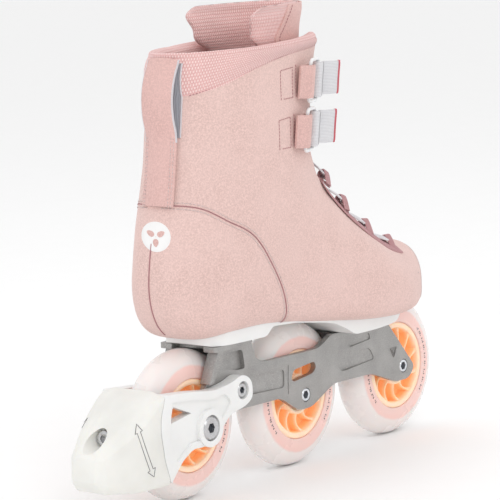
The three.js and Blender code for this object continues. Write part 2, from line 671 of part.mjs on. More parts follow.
function strapBand(strap) {
  const frame = buckleFrame(strap);
  const route = [];
  const first = 1.36;
  const last = strap.buckle + 0.2;
  for (let k = 0; k <= 16; k += 1) {
    const angle = first + ((last - first) * k) / 16;
    const spot = cuffSpot(strap.z, angle, 2.2);
    route.push({ at: spot.at, up: spot.up });
  }
  const turnBack = ribbonPath(frame, roundBar(barReach, -1)).map((step) => (
    { at: step.at, up: step.up.clone().negate() }));
  const ending = ribbonPath(frame, [[barReach + 1.6, barOut + barTurn, 0]]);
  ending[0].up.negate();
  return band([...route, ...turnBack, ...ending], strapWidth, 1.8);
}

const flapRoot = barReach + 2.2;

function strapFlap(strap) {
  const frame = buckleFrame(strap);
  const high = barOut + barTurn;
  return band(ribbonPath(frame, [
    [flapRoot, high, 0], [flapRoot + 2.6, high - 0.9, 0.1], [flapRoot + 5, high - 0.6, -0.3],
    [flapRoot + 8, high + 1, -0.45], [flapRoot + 12, high + 2.6, -0.3], [flapRoot + 17, high + 3.8, -0.2],
    [flapRoot + 22, high + 4.6, -0.15],
  ]), strapWidth - 1.6, strapThick);
}

function strapAnchor(strap) {
  const route = [];
  const outs = [4.3, 4.3, 4.2, 3.4, 2, 1.2, 1.1, 1.1];
  outs.forEach((out, k) => {
    const spot = cuffSpot(strap.z, 1.2 + k * 0.072, out);
    route.push({ at: spot.at, up: spot.up });
  });
  return band(route, strapWidth + 4, 1.4);
}

// ---- heel pull ----

function backX(z) {
  for (let i = 17; i + 1 < bootRings.length; i += 1) {
    const [x0, z0] = bootRings[i];
    const [x1, z1] = bootRings[i + 1];
    if (z >= z0 && z <= z1) return x0 + ((x1 - x0) * (z - z0)) / (z1 - z0);
  }
  return bootRings[bootRings.length - 1][0];
}

function heelPull() {
  const steps = [
    [196, 1.5, 2.6], [206, 1.5, 2.6], [218, 1.5, 2.6], [230, 1.5, 2.6], [238, 1.8, 2.6], [244, 3.2, 2.2],
    [252, 6.2, 1.3], [262, 8.2, 0.7], [272, 8, 0.7], [281, 5.6, 1.3], [287, 3, 2.2], [291, 1.6, 2.6],
  ];
  const route = steps.map(([z, out, lean], i) => {
    const before = steps[Math.max(i - 1, 0)];
    const after = steps[Math.min(i + 1, steps.length - 1)];
    const run = vec(backX(after[0]) - after[1] - backX(before[0]) + before[1], 0, after[0] - before[0]);
    run.normalize();
    return { at: vec(backX(z) - out, 0, z), up: vec(-run.z, 0, run.x), lean };
  });
  return bentBand(route, 25, 1.6);
}

// Band whose edges lean in by each step's lean, to follow a rounded heel.
function bentBand(route, width, thick) {
  const columns = [-1, -0.6, 0, 0.6, 1];
  const rings = route.map(({ at, up, lean }) => {
    const outer = columns.map((c) => at.clone().add(vec(0, (c * width) / 2, 0))
      .addScaledVector(up, thick / 2 - lean * c * c));
    const inner = columns.map((c) => at.clone().add(vec(0, (c * width) / 2, 0))
      .addScaledVector(up, -thick / 2 - lean * c * c));
    return [...outer, ...inner.reverse()];
  });
  return loft(rings, true);
}

// ---- lacing ----

const laceRows = [5.3, 7.2, 9.1, 11];
const loopAngle = 0.42;
const laceWide = 6;
const laceThick = 1.2;
const loopTurn = 3;
const holeOut = 4.3;

function outward(ringAt, angle) {
  return bootSpot(ringAt, angle, -3).sub(bootSpot(ringAt, angle, 1)).normalize();
}

// Row of webbing loops along one side of the opening; side is +1 left, -1 right.
function laceLoops(side) {
  const facing = [];
  for (let k = 0; k <= 9; k += 1) {
    const ringAt = 4.7 + (k * 7) / 9;
    facing.push({ at: bootSpot(ringAt, side * 0.62, -1.3), up: outward(ringAt, side * 0.62) });
  }
  let body = band(facing, 7, 1);
  laceRows.forEach((ringAt) => {
    const up = outward(ringAt, side * loopAngle);
    const here = bootSpot(ringAt, side * loopAngle, 0);
    const across = bootSpot(ringAt, side * (loopAngle + 0.1), 0).sub(here);
    across.addScaledVector(up, -across.dot(up)).normalize();
    const place = (away, out) => here.clone().addScaledVector(across, away).addScaledVector(up, out);
    const route = [{ at: place(9, -0.5), up }, { at: place(4, 0.9), up }];
    for (let k = 0; k <= 4; k += 1) {
      const a = -Math.PI / 2 - (Math.PI * k) / 4;
      const dir = across.clone().multiplyScalar(Math.cos(a)).addScaledVector(up, Math.sin(a));
      route.push({ at: place(loopTurn * Math.cos(a), holeOut + loopTurn * Math.sin(a)), up: dir.negate() });
    }
    route.push({ at: place(4, 4.6), up: up.clone().negate() });
    route.push({ at: place(9, 0.2), up: up.clone().negate() });
    body = body.add(band(route, 6, 0.8));
  });
  return body;
}

function laceRoute() {
  const half = (start) => {
    const steps = [];
    laceRows.forEach((ringAt, i) => {
      const side = start * (i % 2 === 0 ? 1 : -1);
      [-0.27, 0, 0.27].forEach((shift) => {
        const r = ringAt + shift;
        steps.push({
          at: bootSpot(r, side * loopAngle, 0).addScaledVector(outward(r, side * loopAngle), holeOut),
          up: outward(r, side * loopAngle), width: 2.3, thick: 1.3,
        });
      });
      const next = laceRows[i + 1];
      if (next === undefined) {
        [0.62, 1, 1.4].forEach((shift, k) => {
          const angle = side * (loopAngle - 0.16 * (k + 1));
          steps.push({
            at: bootSpot(ringAt + shift, angle, 0).addScaledVector(outward(ringAt + shift, angle), 3 - k * 0.8),
            up: outward(ringAt + shift, angle),
          });
        });
        return;
      }
      [0.26, 0.5, 0.74].forEach((part) => {
        const r = ringAt + 0.27 + (next - ringAt - 0.54) * part;
        const angle = side * loopAngle * (1 - 2 * part);
        const rise = part === 0.5 ? 2.6 + start * 1.3 : 3.2 + start * 0.6;
        steps.push({ at: bootSpot(r, angle, 0).addScaledVector(outward(r, angle), rise), up: outward(r, angle) });
      });
    });
    return steps;
  };
  const start = laceRows[0] - 0.3;
  const cross = [-0.55, 0, 0.55].map((part) => {
    const angle = part * loopAngle;
    return { at: bootSpot(start - 0.25, angle, 0).addScaledVector(outward(start, angle), 3), up: outward(start, angle) };
  });
  return [...half(-1).reverse(), ...cross, ...half(1)];
}

// ---- heel brake ----

const armInside = plateOutside + fit;
const padFace = -163;
const padScrewZ = 54.5;
const tangOutside = 20.5;
const bridgeBack = -181;
const bridgeFront = -169.6;
const padSeat = -187;

function armSide(side) {
  const y = side > 0 ? [armInside, armOutside] : [-armOutside, -armInside];
  const outline = [
    [-70, 62, 6], [-70.5, 74, 7], [-80, 79.4, 6], [-92, 75.4, 6], [-110, 73.4, 6], [-132, 76.6, 4],
    [padFace + 3.6, 79, 1], [padFace - 1.6, 66, 2], [padFace - 2.4, 56, 2], [padFace + 0.6, 36, 3],
    [padFace + 5.4, 21.6, 1], [-146, 33.4, 4], [-134, 39.8, 5], [-122, 38.4, 6], [-106, 45.4, 6],
    [-94.6, 55, 5], [-78, 57.6, 6],
  ];
  let body = sidePrism(outline, y[0], y[1]);
  // Window and lightening pocket.
  body = body.subtract(sidePrism([[-154.6, 59.4, 1.5], [-132.6, 62.6, 1.5], [-151.2, 70.2, 1.5]], y[0] - 1, y[1] + 1));
  const lip = side > 0 ? [armOutside - 2.4, armOutside + 2] : [-armOutside - 2, -armOutside + 2.4];
  body = body.subtract(sidePrism([[-153.6, 54.8, 2], [-134, 57, 3], [-137, 44, 3], [-152, 34.6, 2]], lip[0], lip[1]));
  body = body.subtract(sidePrism([
    [-96, 72.4, 2], [-110, 69.8, 3], [-131, 71.8, 2], [-128, 65, 3], [-108, 61.6, 3],
  ], lip[0], lip[1]));
  // Collar round the long axle.
  const ring = side > 0 ? [armOutside - 3, armOutside] : [-armOutside, -armOutside + 3];
  body = body.add(rodY(12, ring[0], ring[1], wheelX.rear, axleZ, 18));
  return body;
}

function brakeArm() {
  let body = armSide(1).add(armSide(-1));
  [-1, 1].forEach((side) => {
    const y = side > 0 ? [armInside, tangOutside] : [-tangOutside, -armInside];
    body = body.add(sidePrism([
      [padFace + 6, 34, 2], [bridgeBack, 45, 2], [bridgeBack, 63, 2], [-170, 68, 2], [padFace + 6, 68, 2],
    ], y[0], y[1]));
  });
  body = body.add(block(bridgeBack, bridgeFront, -armInside - 1, armInside + 1, 45, 63));
  body = body.subtract(rodX(3 + fit, -195, -168, 0, padScrewZ));
  body = body.subtract(rodX(5 + fit, bridgeFront - 4, bridgeFront + 2, 0, padScrewZ, 6));
  [-1, 1].forEach((side) => {
    const face = side * armOutside;
    const span = (deep) => (side > 0 ? [face - deep, face + 2] : [face - 2, face + deep]);
    body = body.subtract(rodY(8.4, ...span(2.2), wheelX.rear, axleZ, 18));
    body = body.subtract(rodY(5.8, ...span(4), armScrew.x, armScrew.z));
  });
  body = body.subtract(rodY(bearingBore, -30, 30, wheelX.rear, axleZ));
  return body.subtract(rodY(2.5 + fit, -30, 30, armScrew.x, armScrew.z));
}

function brakePad() {
  const points = [];
  [
    [padFace + 3.4, 25.6, 78.4], [padFace + 3.6, 15, 81.4], [-172, 10, 75.6], [-170, 22, 75.6],
    [padFace + 5.2, 25, 20.4], [padFace + 5.4, 26.5, 23], [padFace + 3.4, 26.5, 77], [-186, 12, 19.2],
    [-184, 22.5, 20.6], [-205, 12, 22.4], [-212.4, 9, 30.6], [-211, 9.6, 45.4], [-207, 14, 45],
    [-206, 15.4, 28], [-190, 21.5, 55.6], [-193, 12, 60], [-180, 25.2, 30], [-178, 25.6, 64],
  ].forEach(([x, y, z]) => [-1, 1].forEach((side) => points.push(vec(x, y * side, z))));
  let body = solid(new ConvexGeometry(points));
  // Front face follows the curved edge of the arm.
  body = body.subtract(sidePrism([
    [-140, 90, 0], [padFace + 3.2, 90, 0], [padFace + 3.2, 79, 1], [padFace - 2, 66, 2], [padFace - 2.8, 56, 2],
    [padFace + 0.2, 36, 3], [padFace + 5, 21.6, 1], [padFace + 5, 10, 0], [-140, 10, 0],
  ], -40, 40));
  const wall = tangOutside + fit;
  const slot = sidePrism([
    [-150, 30], [bridgeBack - fit, 44], [bridgeBack - fit, 64], [-170, 69.4], [-150, 69.4],
  ], -wall, wall);
  body = body.subtract(slot).subtract(rodY(wellRadius, -wellHalf, wellHalf, wheelX.rear, axleZ, 26));
  body = body.subtract(rodX(8, -220, padSeat, 0, padScrewZ, 20));
  return body.subtract(rodX(3 + fit, -200, -178, 0, padScrewZ));
}

function padScrew() {
  const head = rodX(5.4, padSeat - fit - 4.4, padSeat - fit, 0, padScrewZ);
  const body = head.add(rodX(3, padSeat - 1, bridgeFront - 0.6, 0, padScrewZ));
  return body.subtract(rodX(2.6, padSeat - 8, padSeat - fit - 1.6, 0, padScrewZ, 6));
}

function padNut() {
  const nut = rodX(5, bridgeFront - 4 + fit, bridgeFront - 0.4, 0, padScrewZ, 6);
  return nut.subtract(rodX(3 + fit, bridgeBack, bridgeFront + 2, 0, padScrewZ));
}

function armBolt(side) {
  const seat = side * (armOutside - 4 - fit);
  const span = (a, b) => (side > 0 ? [a, b] : [-b, -a]);
  const top = Math.abs(seat) + fit * 2;
  const head = rodY(4.8, ...span(top, top + 3), armScrew.x, armScrew.z);
  const body = head.add(rodY(2.5, ...span(plateInside + 0.4, top + 1), armScrew.x, armScrew.z));
  return body.subtract(rodY(2.3, ...span(top + 1.2, top + 5), armScrew.x, armScrew.z, 6));
}

function rearAxle() {
  const seat = -armOutside + 2.2 - fit;
  const head = rodY(8, seat - 3.4, seat, wheelX.rear, axleZ, 18);
  const body = head.add(rodY(bearingBore - fit, seat - 1, armOutside - 2.6, wheelX.rear, axleZ));
  return body.subtract(rodY(3.2, seat - 5, seat - 1, wheelX.rear, axleZ, 6));
}

function rearAxleCap() {
  const seat = armOutside - 2.2 + fit;
  const dome = turned([[0.01, seat + 4.4], [5, seat + 4], [8, seat + 2.6], [8, seat], [0.01, seat]], 0, 0, 18);
  return dome.translate([wheelX.rear, 0, axleZ]);
}

// ---- assembly ----

Object.entries(wheelX).forEach(([place, x]) => {
  addPiece(`tyre_${place}`, tyre(x), 'tyre');
  addPiece(`hub_${place}`, hub(x), 'hub');
  addPiece(`bearing_${place}_left`, bearing(x, 1), 'steel');
  addPiece(`bearing_${place}_right`, bearing(x, -1), 'steel');
  addPiece(`spacer_${place}`, spacer(x), 'steel');
});
['front', 'middle'].forEach((place) => {
  addPiece(`axle_${place}`, axle(wheelX[place], 4.6, 2.2, -plateOutside, plateOutside - 0.6), 'steel');
});
addPiece('axle_rear', rearAxle(), 'steel');
addPiece('axle_cap_rear', rearAxleCap(), 'steel');
addPiece('frame', frameBody(), 'cast');
addPiece('deck_bolt_front_left', deckBolt(deckBolts.frontLeft, frontDeckZ - deckThick, 99), 'steel');
addPiece('deck_bolt_front_right', deckBolt(deckBolts.frontRight, frontDeckZ - deckThick, 99), 'steel');
addPiece('deck_bolt_rear', deckBolt(deckBolts.rear, rearDeckZ - deckThick, 109), 'steel');
addPiece('sole_base', soleBase(), 'shell');

const outside = bootForm(0, 0);
const clear = bootForm(-fit, 0);
const inside = bootForm(upperThick + linerThick, 20);
addPiece('boot_upper', bootUpper(outside, bootForm(upperThick, 20)), 'suede');
addPiece('boot_liner', bootLiner(inside), 'mesh');
addPiece('footbed', footbed(), 'foam');
addPiece('tongue', tongue(), 'mesh');
addPiece('heel_pull', heelPull().subtract(clear), 'suede');
addPiece('lace', band(laceRoute(), laceWide, laceThick), 'webbing');
const laceRoom = band(laceRoute().map((step) => ({
  ...step, width: (step.width || laceWide) + 2 * fit, thick: (step.thick || laceThick) + 2 * fit,
})), laceWide, laceThick);
addPiece('lace_loops_left', laceLoops(1).subtract(clear).subtract(laceRoom), 'trim');
addPiece('lace_loops_right', laceLoops(-1).subtract(clear).subtract(laceRoom), 'trim');
Object.entries(straps).forEach(([place, strap]) => {
  addPiece(`strap_ring_${place}`, strapRing(strap), 'shell');
  addPiece(`strap_tab_${place}`, strapTab(strap).subtract(clear), 'trim');
  addPiece(`strap_band_${place}`, strapBand(strap).subtract(clear), 'webbing');
  addPiece(`strap_flap_${place}`, strapFlap(strap), 'webbing');
  addPiece(`strap_anchor_${place}`, strapAnchor(strap).subtract(clear), 'trim');
});
addPiece('brake_arm', brakeArm(), 'shell');
addPiece('brake_pad', brakePad(), 'pad');
addPiece('pad_screw', padScrew(), 'steel');
addPiece('pad_nut', padNut(), 'steel');
addPiece('arm_bolt_left', armBolt(1), 'steel');
addPiece('arm_bolt_right', armBolt(-1), 'steel');

// Bring the middle of the footprint to the origin, ground at zero.
const whole = new THREE.Box3().setFromObject(group);
const centre = whole.getCenter(new THREE.Vector3());
group.children.forEach((piece) => piece.geometry.translate(-centre.x, -centre.y, -whole.min.z));

export default group;
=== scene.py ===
import bpy, bmesh, math, random
from mathutils import Vector, Matrix, noise
from mathutils.bvhtree import BVHTree


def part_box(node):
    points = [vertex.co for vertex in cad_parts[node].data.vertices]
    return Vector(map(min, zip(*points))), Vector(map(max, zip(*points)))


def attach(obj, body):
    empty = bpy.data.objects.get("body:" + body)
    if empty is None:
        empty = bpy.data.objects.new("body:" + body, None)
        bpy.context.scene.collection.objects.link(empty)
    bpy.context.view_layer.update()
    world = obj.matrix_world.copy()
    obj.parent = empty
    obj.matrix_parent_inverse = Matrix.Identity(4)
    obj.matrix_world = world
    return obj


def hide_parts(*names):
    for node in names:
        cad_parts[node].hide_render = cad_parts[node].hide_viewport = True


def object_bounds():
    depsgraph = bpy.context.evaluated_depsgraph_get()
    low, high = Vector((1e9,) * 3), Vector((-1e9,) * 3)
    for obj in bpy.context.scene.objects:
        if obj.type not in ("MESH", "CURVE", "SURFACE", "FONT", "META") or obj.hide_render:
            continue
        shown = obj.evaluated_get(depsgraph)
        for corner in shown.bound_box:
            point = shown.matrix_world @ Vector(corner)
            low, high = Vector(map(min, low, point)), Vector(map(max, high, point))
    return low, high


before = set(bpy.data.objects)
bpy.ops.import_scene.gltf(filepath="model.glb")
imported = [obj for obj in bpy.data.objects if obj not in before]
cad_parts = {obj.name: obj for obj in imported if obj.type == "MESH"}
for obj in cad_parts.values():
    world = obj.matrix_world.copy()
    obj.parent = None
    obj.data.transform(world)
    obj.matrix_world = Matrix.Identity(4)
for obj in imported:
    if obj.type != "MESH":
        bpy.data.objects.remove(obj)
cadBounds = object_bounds()
random.seed(11)
rest = "boot_and_frame"

# The middle axle stands over the zero of the skate's own millimetres.
axleLow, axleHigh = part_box("tyre_middle")
zeroX = (axleLow.x + axleHigh.x) * 500
zeroY = (axleLow.y + axleHigh.y) * 500
zeroZ = axleLow.z * 1000


def inPlace(p):
    return Vector(((p[0] + zeroX) / 1000, (p[1] + zeroY) / 1000, (p[2] + zeroZ) / 1000))


# Camera and light.

camera = {"spot": (-1501.901, -1154.349, 423.005), "look": (0.77819056, 0.61158296, -0.14277864),
          "up": (0.13838869, 0.0547688, 0.98886245), "lens": 202.32}
lights = {"key": {"spot": (-900, -1300, 1500), "size": 1.2, "power": 6},
          "fill": {"spot": (-1700, 500, 900), "size": 1.4, "power": 2.5, "tint": (0.86, 0.93, 1.0)},
          "top": {"spot": (200, 100, 1700), "size": 1.6, "power": 3.5}}


def setCamera():
    data = bpy.data.cameras.new("camera")
    data.sensor_width = 36
    data.lens = camera["lens"]
    data.clip_end = 30
    seat = bpy.data.objects.new("camera", data)
    look, up = Vector(camera["look"]).normalized(), Vector(camera["up"]).normalized()
    right = look.cross(up).normalized()
    up = right.cross(look)
    turn = Matrix((right, up, -look)).transposed().to_4x4()
    seat.matrix_world = Matrix.Translation(inPlace(camera["spot"])) @ turn
    bpy.context.scene.collection.objects.link(seat)
    bpy.context.scene.camera = seat


def setLights():
    for name, light in lights.items():
        data = bpy.data.lights.new(name + "Light", "AREA")
        data.size = light["size"]
        data.energy = light["power"]
        data.color = light.get("tint", (1, 1, 1))
        lamp = bpy.data.objects.new(name + "Light", data)
        lamp.location = inPlace(light["spot"])
        aim = inPlace((0, 0, 130)) - lamp.location
        lamp.rotation_euler = aim.to_track_quat("-Z", "Y").to_euler()
        bpy.context.scene.collection.objects.link(lamp)
    world = bpy.data.worlds.new("studio")
    world.use_nodes = True
    tree = world.node_tree
    back = tree.nodes["Background"]
    back.inputs[0].default_value = (1, 1, 1, 1)
    # The backdrop stays white while the light it gives is softer.
    seen = tree.nodes.new("ShaderNodeLightPath").outputs["Is Camera Ray"]
    level = tree.nodes.new("ShaderNodeMath")
    level.operation = "MULTIPLY_ADD"
    level.inputs[1].default_value, level.inputs[2].default_value = 0.1, 0.91
    tree.links.new(seen, level.inputs[0])
    tree.links.new(level.outputs[0], back.inputs[1])
    bpy.context.scene.world = world
    bpy.context.scene.view_settings.view_transform = "Standard"


# Finishes.

def nodeKit(name):
    material = bpy.data.materials.new(name)
    material.use_nodes = True
    nodes, links = material.node_tree.nodes, material.node_tree.links
    shader = nodes["Principled BSDF"]

    def add(kind, inputs=None, **settings):
        node = nodes.new(kind)
        for key, value in settings.items():
            setattr(node, key, value)
        for key, value in (inputs or {}).items():
            if isinstance(value, bpy.types.NodeSocket):
                links.new(value, node.inputs[key])
            else:
                node.inputs[key].default_value = value
        return node

    def put(socket, value):
        if isinstance(value, bpy.types.NodeSocket):
            links.new(value, shader.inputs[socket])
        else:
            shader.inputs[socket].default_value = value

    return material, add, put


def mathNode(add, how, *values, clamp=False):
    return add("ShaderNodeMath", dict(enumerate(values)), operation=how, use_clamp=clamp).outputs[0]


def grain(add, space, scale, detail=3.0, rough=0.55):
    return add("ShaderNodeTexNoise", {"Vector": space, "Scale": scale, "Detail": detail,
                                      "Roughness": rough}).outputs["Fac"]


def between(add, factor, first, second):
    mix = add("ShaderNodeMix", data_type="RGBA")
    for socket, value in ((0, factor), (6, first), (7, second)):
        if isinstance(value, bpy.types.NodeSocket):
            mix.id_data.links.new(value, mix.inputs[socket])
        else:
            mix.inputs[socket].default_value = value if socket == 0 else (*value, 1)
    return mix.outputs[2]


def spread(add, value, low, high, outLow=0.0, outHigh=1.0):
    return add("ShaderNodeMapRange", {"Value": value, "From Min": low, "From Max": high,
                                      "To Min": outLow, "To Max": outHigh}).outputs[0]


def relief(add, put, height, distance, strength=1.0):
    bump = add("ShaderNodeBump", {"Height": height, "Distance": distance, "Strength": strength})
    put("Normal", bump.outputs[0])


def suedeFinish(name, colour, deep, sheen=0.35):
    material, add, put = nodeKit(name)
    space = add("ShaderNodeTexCoord").outputs["Object"]
    broad = grain(add, space, 38, 4)
    nap = grain(add, space, 900, 4, 0.7)
    fleck = grain(add, space, 2600, 2, 0.6)
    mottled = between(add, spread(add, broad, 0.3, 0.72), deep, colour)
    light = tuple(min(1, c * 1.13) for c in colour)
    napped = between(add, spread(add, nap, 0.42, 0.62), mottled, light)
    dark = tuple(c * 0.8 for c in deep)
    put("Base Color", between(add, spread(add, fleck, 0.62, 0.75, 0, 0.5), napped, dark))
    put("Roughness", spread(add, nap, 0.2, 0.8, 0.86, 1.0))
    put("Sheen Weight", sheen)
    put("Sheen Roughness", 0.45)
    put("Sheen Tint", (1, 0.9, 0.88, 1))
    put("Specular IOR Level", 0.18)
    fuzz = mathNode(add, "ADD", mathNode(add, "MULTIPLY", nap, 0.7), mathNode(add, "MULTIPLY", fleck, 0.5))
    relief(add, put, fuzz, 0.00035, 0.8)
    return material


# Knit of short upright ticks in offset rows; the surface's own millimetres drive it.
def knitFinish(name, thread, ground, across=1.15, up=2.2):
    material, add, put = nodeKit(name)
    split = add("ShaderNodeSeparateXYZ", {0: add("ShaderNodeTexCoord").outputs["UV"]})
    row = mathNode(add, "DIVIDE", split.outputs[1], up)
    offset = mathNode(add, "MULTIPLY", mathNode(add, "MODULO", mathNode(add, "FLOOR", row), 2.0), 0.5)
    column = mathNode(add, "ADD", mathNode(add, "DIVIDE", split.outputs[0], across), offset)
    space = add("ShaderNodeTexCoord").outputs["Object"]
    stray = grain(add, space, 420, 3)
    column = mathNode(add, "ADD", column, mathNode(add, "MULTIPLY", stray, 0.35))

    def hill(value, power):
        part = mathNode(add, "FRACT", value)
        wave = mathNode(add, "SINE", mathNode(add, "MULTIPLY", part, math.pi))
        return mathNode(add, "POWER", mathNode(add, "MAXIMUM", wave, 0.0), power)

    tick = mathNode(add, "MULTIPLY", hill(column, 1.5), hill(row, 0.6))
    broad = grain(add, space, 45, 3)
    shade = between(add, spread(add, broad, 0.3, 0.7), tuple(c * 0.93 for c in ground), ground)
    put("Base Color", between(add, spread(add, tick, 0.25, 0.85), shade, thread))
    put("Roughness", spread(add, stray, 0.3, 0.7, 0.85, 0.98))
    put("Sheen Weight", 0.3)
    put("Specular IOR Level", 0.2)
    height = mathNode(add, "ADD", tick, mathNode(add, "MULTIPLY", stray, 0.3))
    relief(add, put, height, 0.0006, 0.9)
    return material


# Ribbed narrow webbing: ribs run along the ribbon, threads cross them.
def webbingFinish(name, colour, shadow, rib=1.0):
    material, add, put = nodeKit(name)
    split = add("ShaderNodeSeparateXYZ", {0: add("ShaderNodeTexCoord").outputs["UV"]})
    space = add("ShaderNodeTexCoord").outputs["Object"]
    stray = grain(add, space, 800, 3)

    def wave(value, width):
        turn = mathNode(add, "MULTIPLY", value, math.pi * 2 / width)
        return mathNode(add, "MULTIPLY_ADD", mathNode(add, "SINE", turn), 0.5, 0.5)

    ribs = wave(split.outputs[0], rib)
    thread = wave(split.outputs[1], rib * 0.55)
    weave = mathNode(add, "MULTIPLY_ADD", thread, 0.4, mathNode(add, "MULTIPLY", ribs, 0.6))
    put("Base Color", between(add, spread(add, weave, 0.05, 0.5), shadow, colour))
    put("Roughness", spread(add, stray, 0.3, 0.7, 0.7, 0.9))
    put("Sheen Weight", 0.15)
    put("Specular IOR Level", 0.3)
    relief(add, put, mathNode(add, "MULTIPLY_ADD", stray, 0.3, weave), 0.0004, 0.9)
    return material


def mouldedFinish(name, colour, rough=0.42, coat=0.1, glow=0.05, speck=0.03):
    material, add, put = nodeKit(name)
    space = add("ShaderNodeTexCoord").outputs["Object"]
    broad = grain(add, space, 30, 3)
    fine = grain(add, space, 1500, 2)
    tint = tuple(c * (1 - speck * 2) for c in colour)
    put("Base Color", between(add, spread(add, broad, 0.35, 0.7), tint, colour))
    put("Roughness", spread(add, fine, 0.3, 0.7, rough - 0.06, rough + 0.08))
    put("Coat Weight", coat)
    put("Coat Roughness", 0.3)
    put("Subsurface Weight", glow)
    put("Subsurface Radius", (0.004, 0.003, 0.002))
    put("Subsurface Scale", 0.5)
    relief(add, put, mathNode(add, "ADD", fine, mathNode(add, "MULTIPLY", broad, 0.6)), 0.00012, 0.5)
    return material


def castFinish(name, colour):
    material, add, put = nodeKit(name)
    space = add("ShaderNodeTexCoord").outputs["Object"]
    broad = grain(add, space, 60, 4)
    sparkle = grain(add, space, 2200, 2, 0.7)
    cells = add("ShaderNodeTexVoronoi", {"Vector": space, "Scale": 1500.0}).outputs["Distance"]
    dull = tuple(c * 0.78 for c in colour)
    bright = tuple(min(1, c * 1.45) for c in colour)
    base = between(add, spread(add, broad, 0.3, 0.7), dull, colour)
    put("Base Color", between(add, spread(add, sparkle, 0.5, 0.68), base, bright))
    put("Metallic", 0.75)
    put("Roughness", spread(add, sparkle, 0.3, 0.7, 0.5, 0.34))
    put("Specular IOR Level", 0.5)
    relief(add, put, mathNode(add, "ADD", sparkle, mathNode(add, "MULTIPLY", cells, 0.5)), 0.00018, 0.6)
    return material


def steelFinish(name, colour, rough=0.25):
    material, add, put = nodeKit(name)
    space = add("ShaderNodeTexCoord").outputs["Object"]
    fine = grain(add, space, 1800, 3)
    broad = grain(add, space, 120, 2)
    put("Base Color", between(add, broad, tuple(c * 0.8 for c in colour), colour))
    put("Metallic", 0.95)
    put("Roughness", spread(add, fine, 0.3, 0.7, rough - 0.08, rough + 0.12))
    relief(add, put, fine, 0.00004, 0.5)
    return material


# Cast urethane: milky at the tread, tinted near the core. The turned surface's v says how far in.
def urethaneFinish(name, pearl, tint):
    material, add, put = nodeKit(name)
    where = add("ShaderNodeAttribute", attribute_name="depth").outputs["Fac"]
    space = add("ShaderNodeTexCoord").outputs["Object"]
    cloud = grain(add, space, 42, 4)
    soft = mathNode(add, "MULTIPLY_ADD", cloud, 0.16, mathNode(add, "SUBTRACT", where, 0.08))
    edge = spread(add, soft, 0.48, 0.56)
    put("Base Color", between(add, edge, pearl, tint))
    put("Roughness", spread(add, cloud, 0.3, 0.7, 0.22, 0.34))
    put("Subsurface Weight", 0.45)
    put("Subsurface Radius", (0.012, 0.008, 0.007))
    put("Subsurface Scale", 0.6)
    put("Coat Weight", 0.35)
    put("Coat Roughness", 0.12)
    relief(add, put, grain(add, space, 60, 2), 0.00004, 0.3)
    return material


# Hub plastic, brighter and paler on the outer faces of rims and spokes and deeper orange further in: a
# painted highlight where light falls on the faces and painted shade in the recess.
def hubFinish(name, body, edge):
    material, add, put = nodeKit(name)
    height = add("ShaderNodeAttribute", attribute_name="depth").outputs["Fac"]
    space = add("ShaderNodeTexCoord").outputs["Object"]
    broad = grain(add, space, 70, 2)
    faceHighlight = mathNode(add, "MULTIPLY_ADD", broad, 0.2, mathNode(add, "SUBTRACT", height, 0.1))
    put("Base Color", between(add, spread(add, faceHighlight, 0.35, 0.95), body, edge))
    put("Roughness", spread(add, grain(add, space, 900, 2), 0.3, 0.7, 0.32, 0.45))
    put("Subsurface Weight", 0.4)
    put("Subsurface Radius", (0.008, 0.004, 0.002))
    put("Subsurface Scale", 0.5)
    put("Coat Weight", 0.15)
    # Painted glow: a faint light in the body colour, standing in for light passing through the plastic.
    put("Emission Color", (*body, 1))
    put("Emission Strength", 0.14)
    relief(add, put, grain(add, space, 1400, 2), 0.00006, 0.4)
    return material


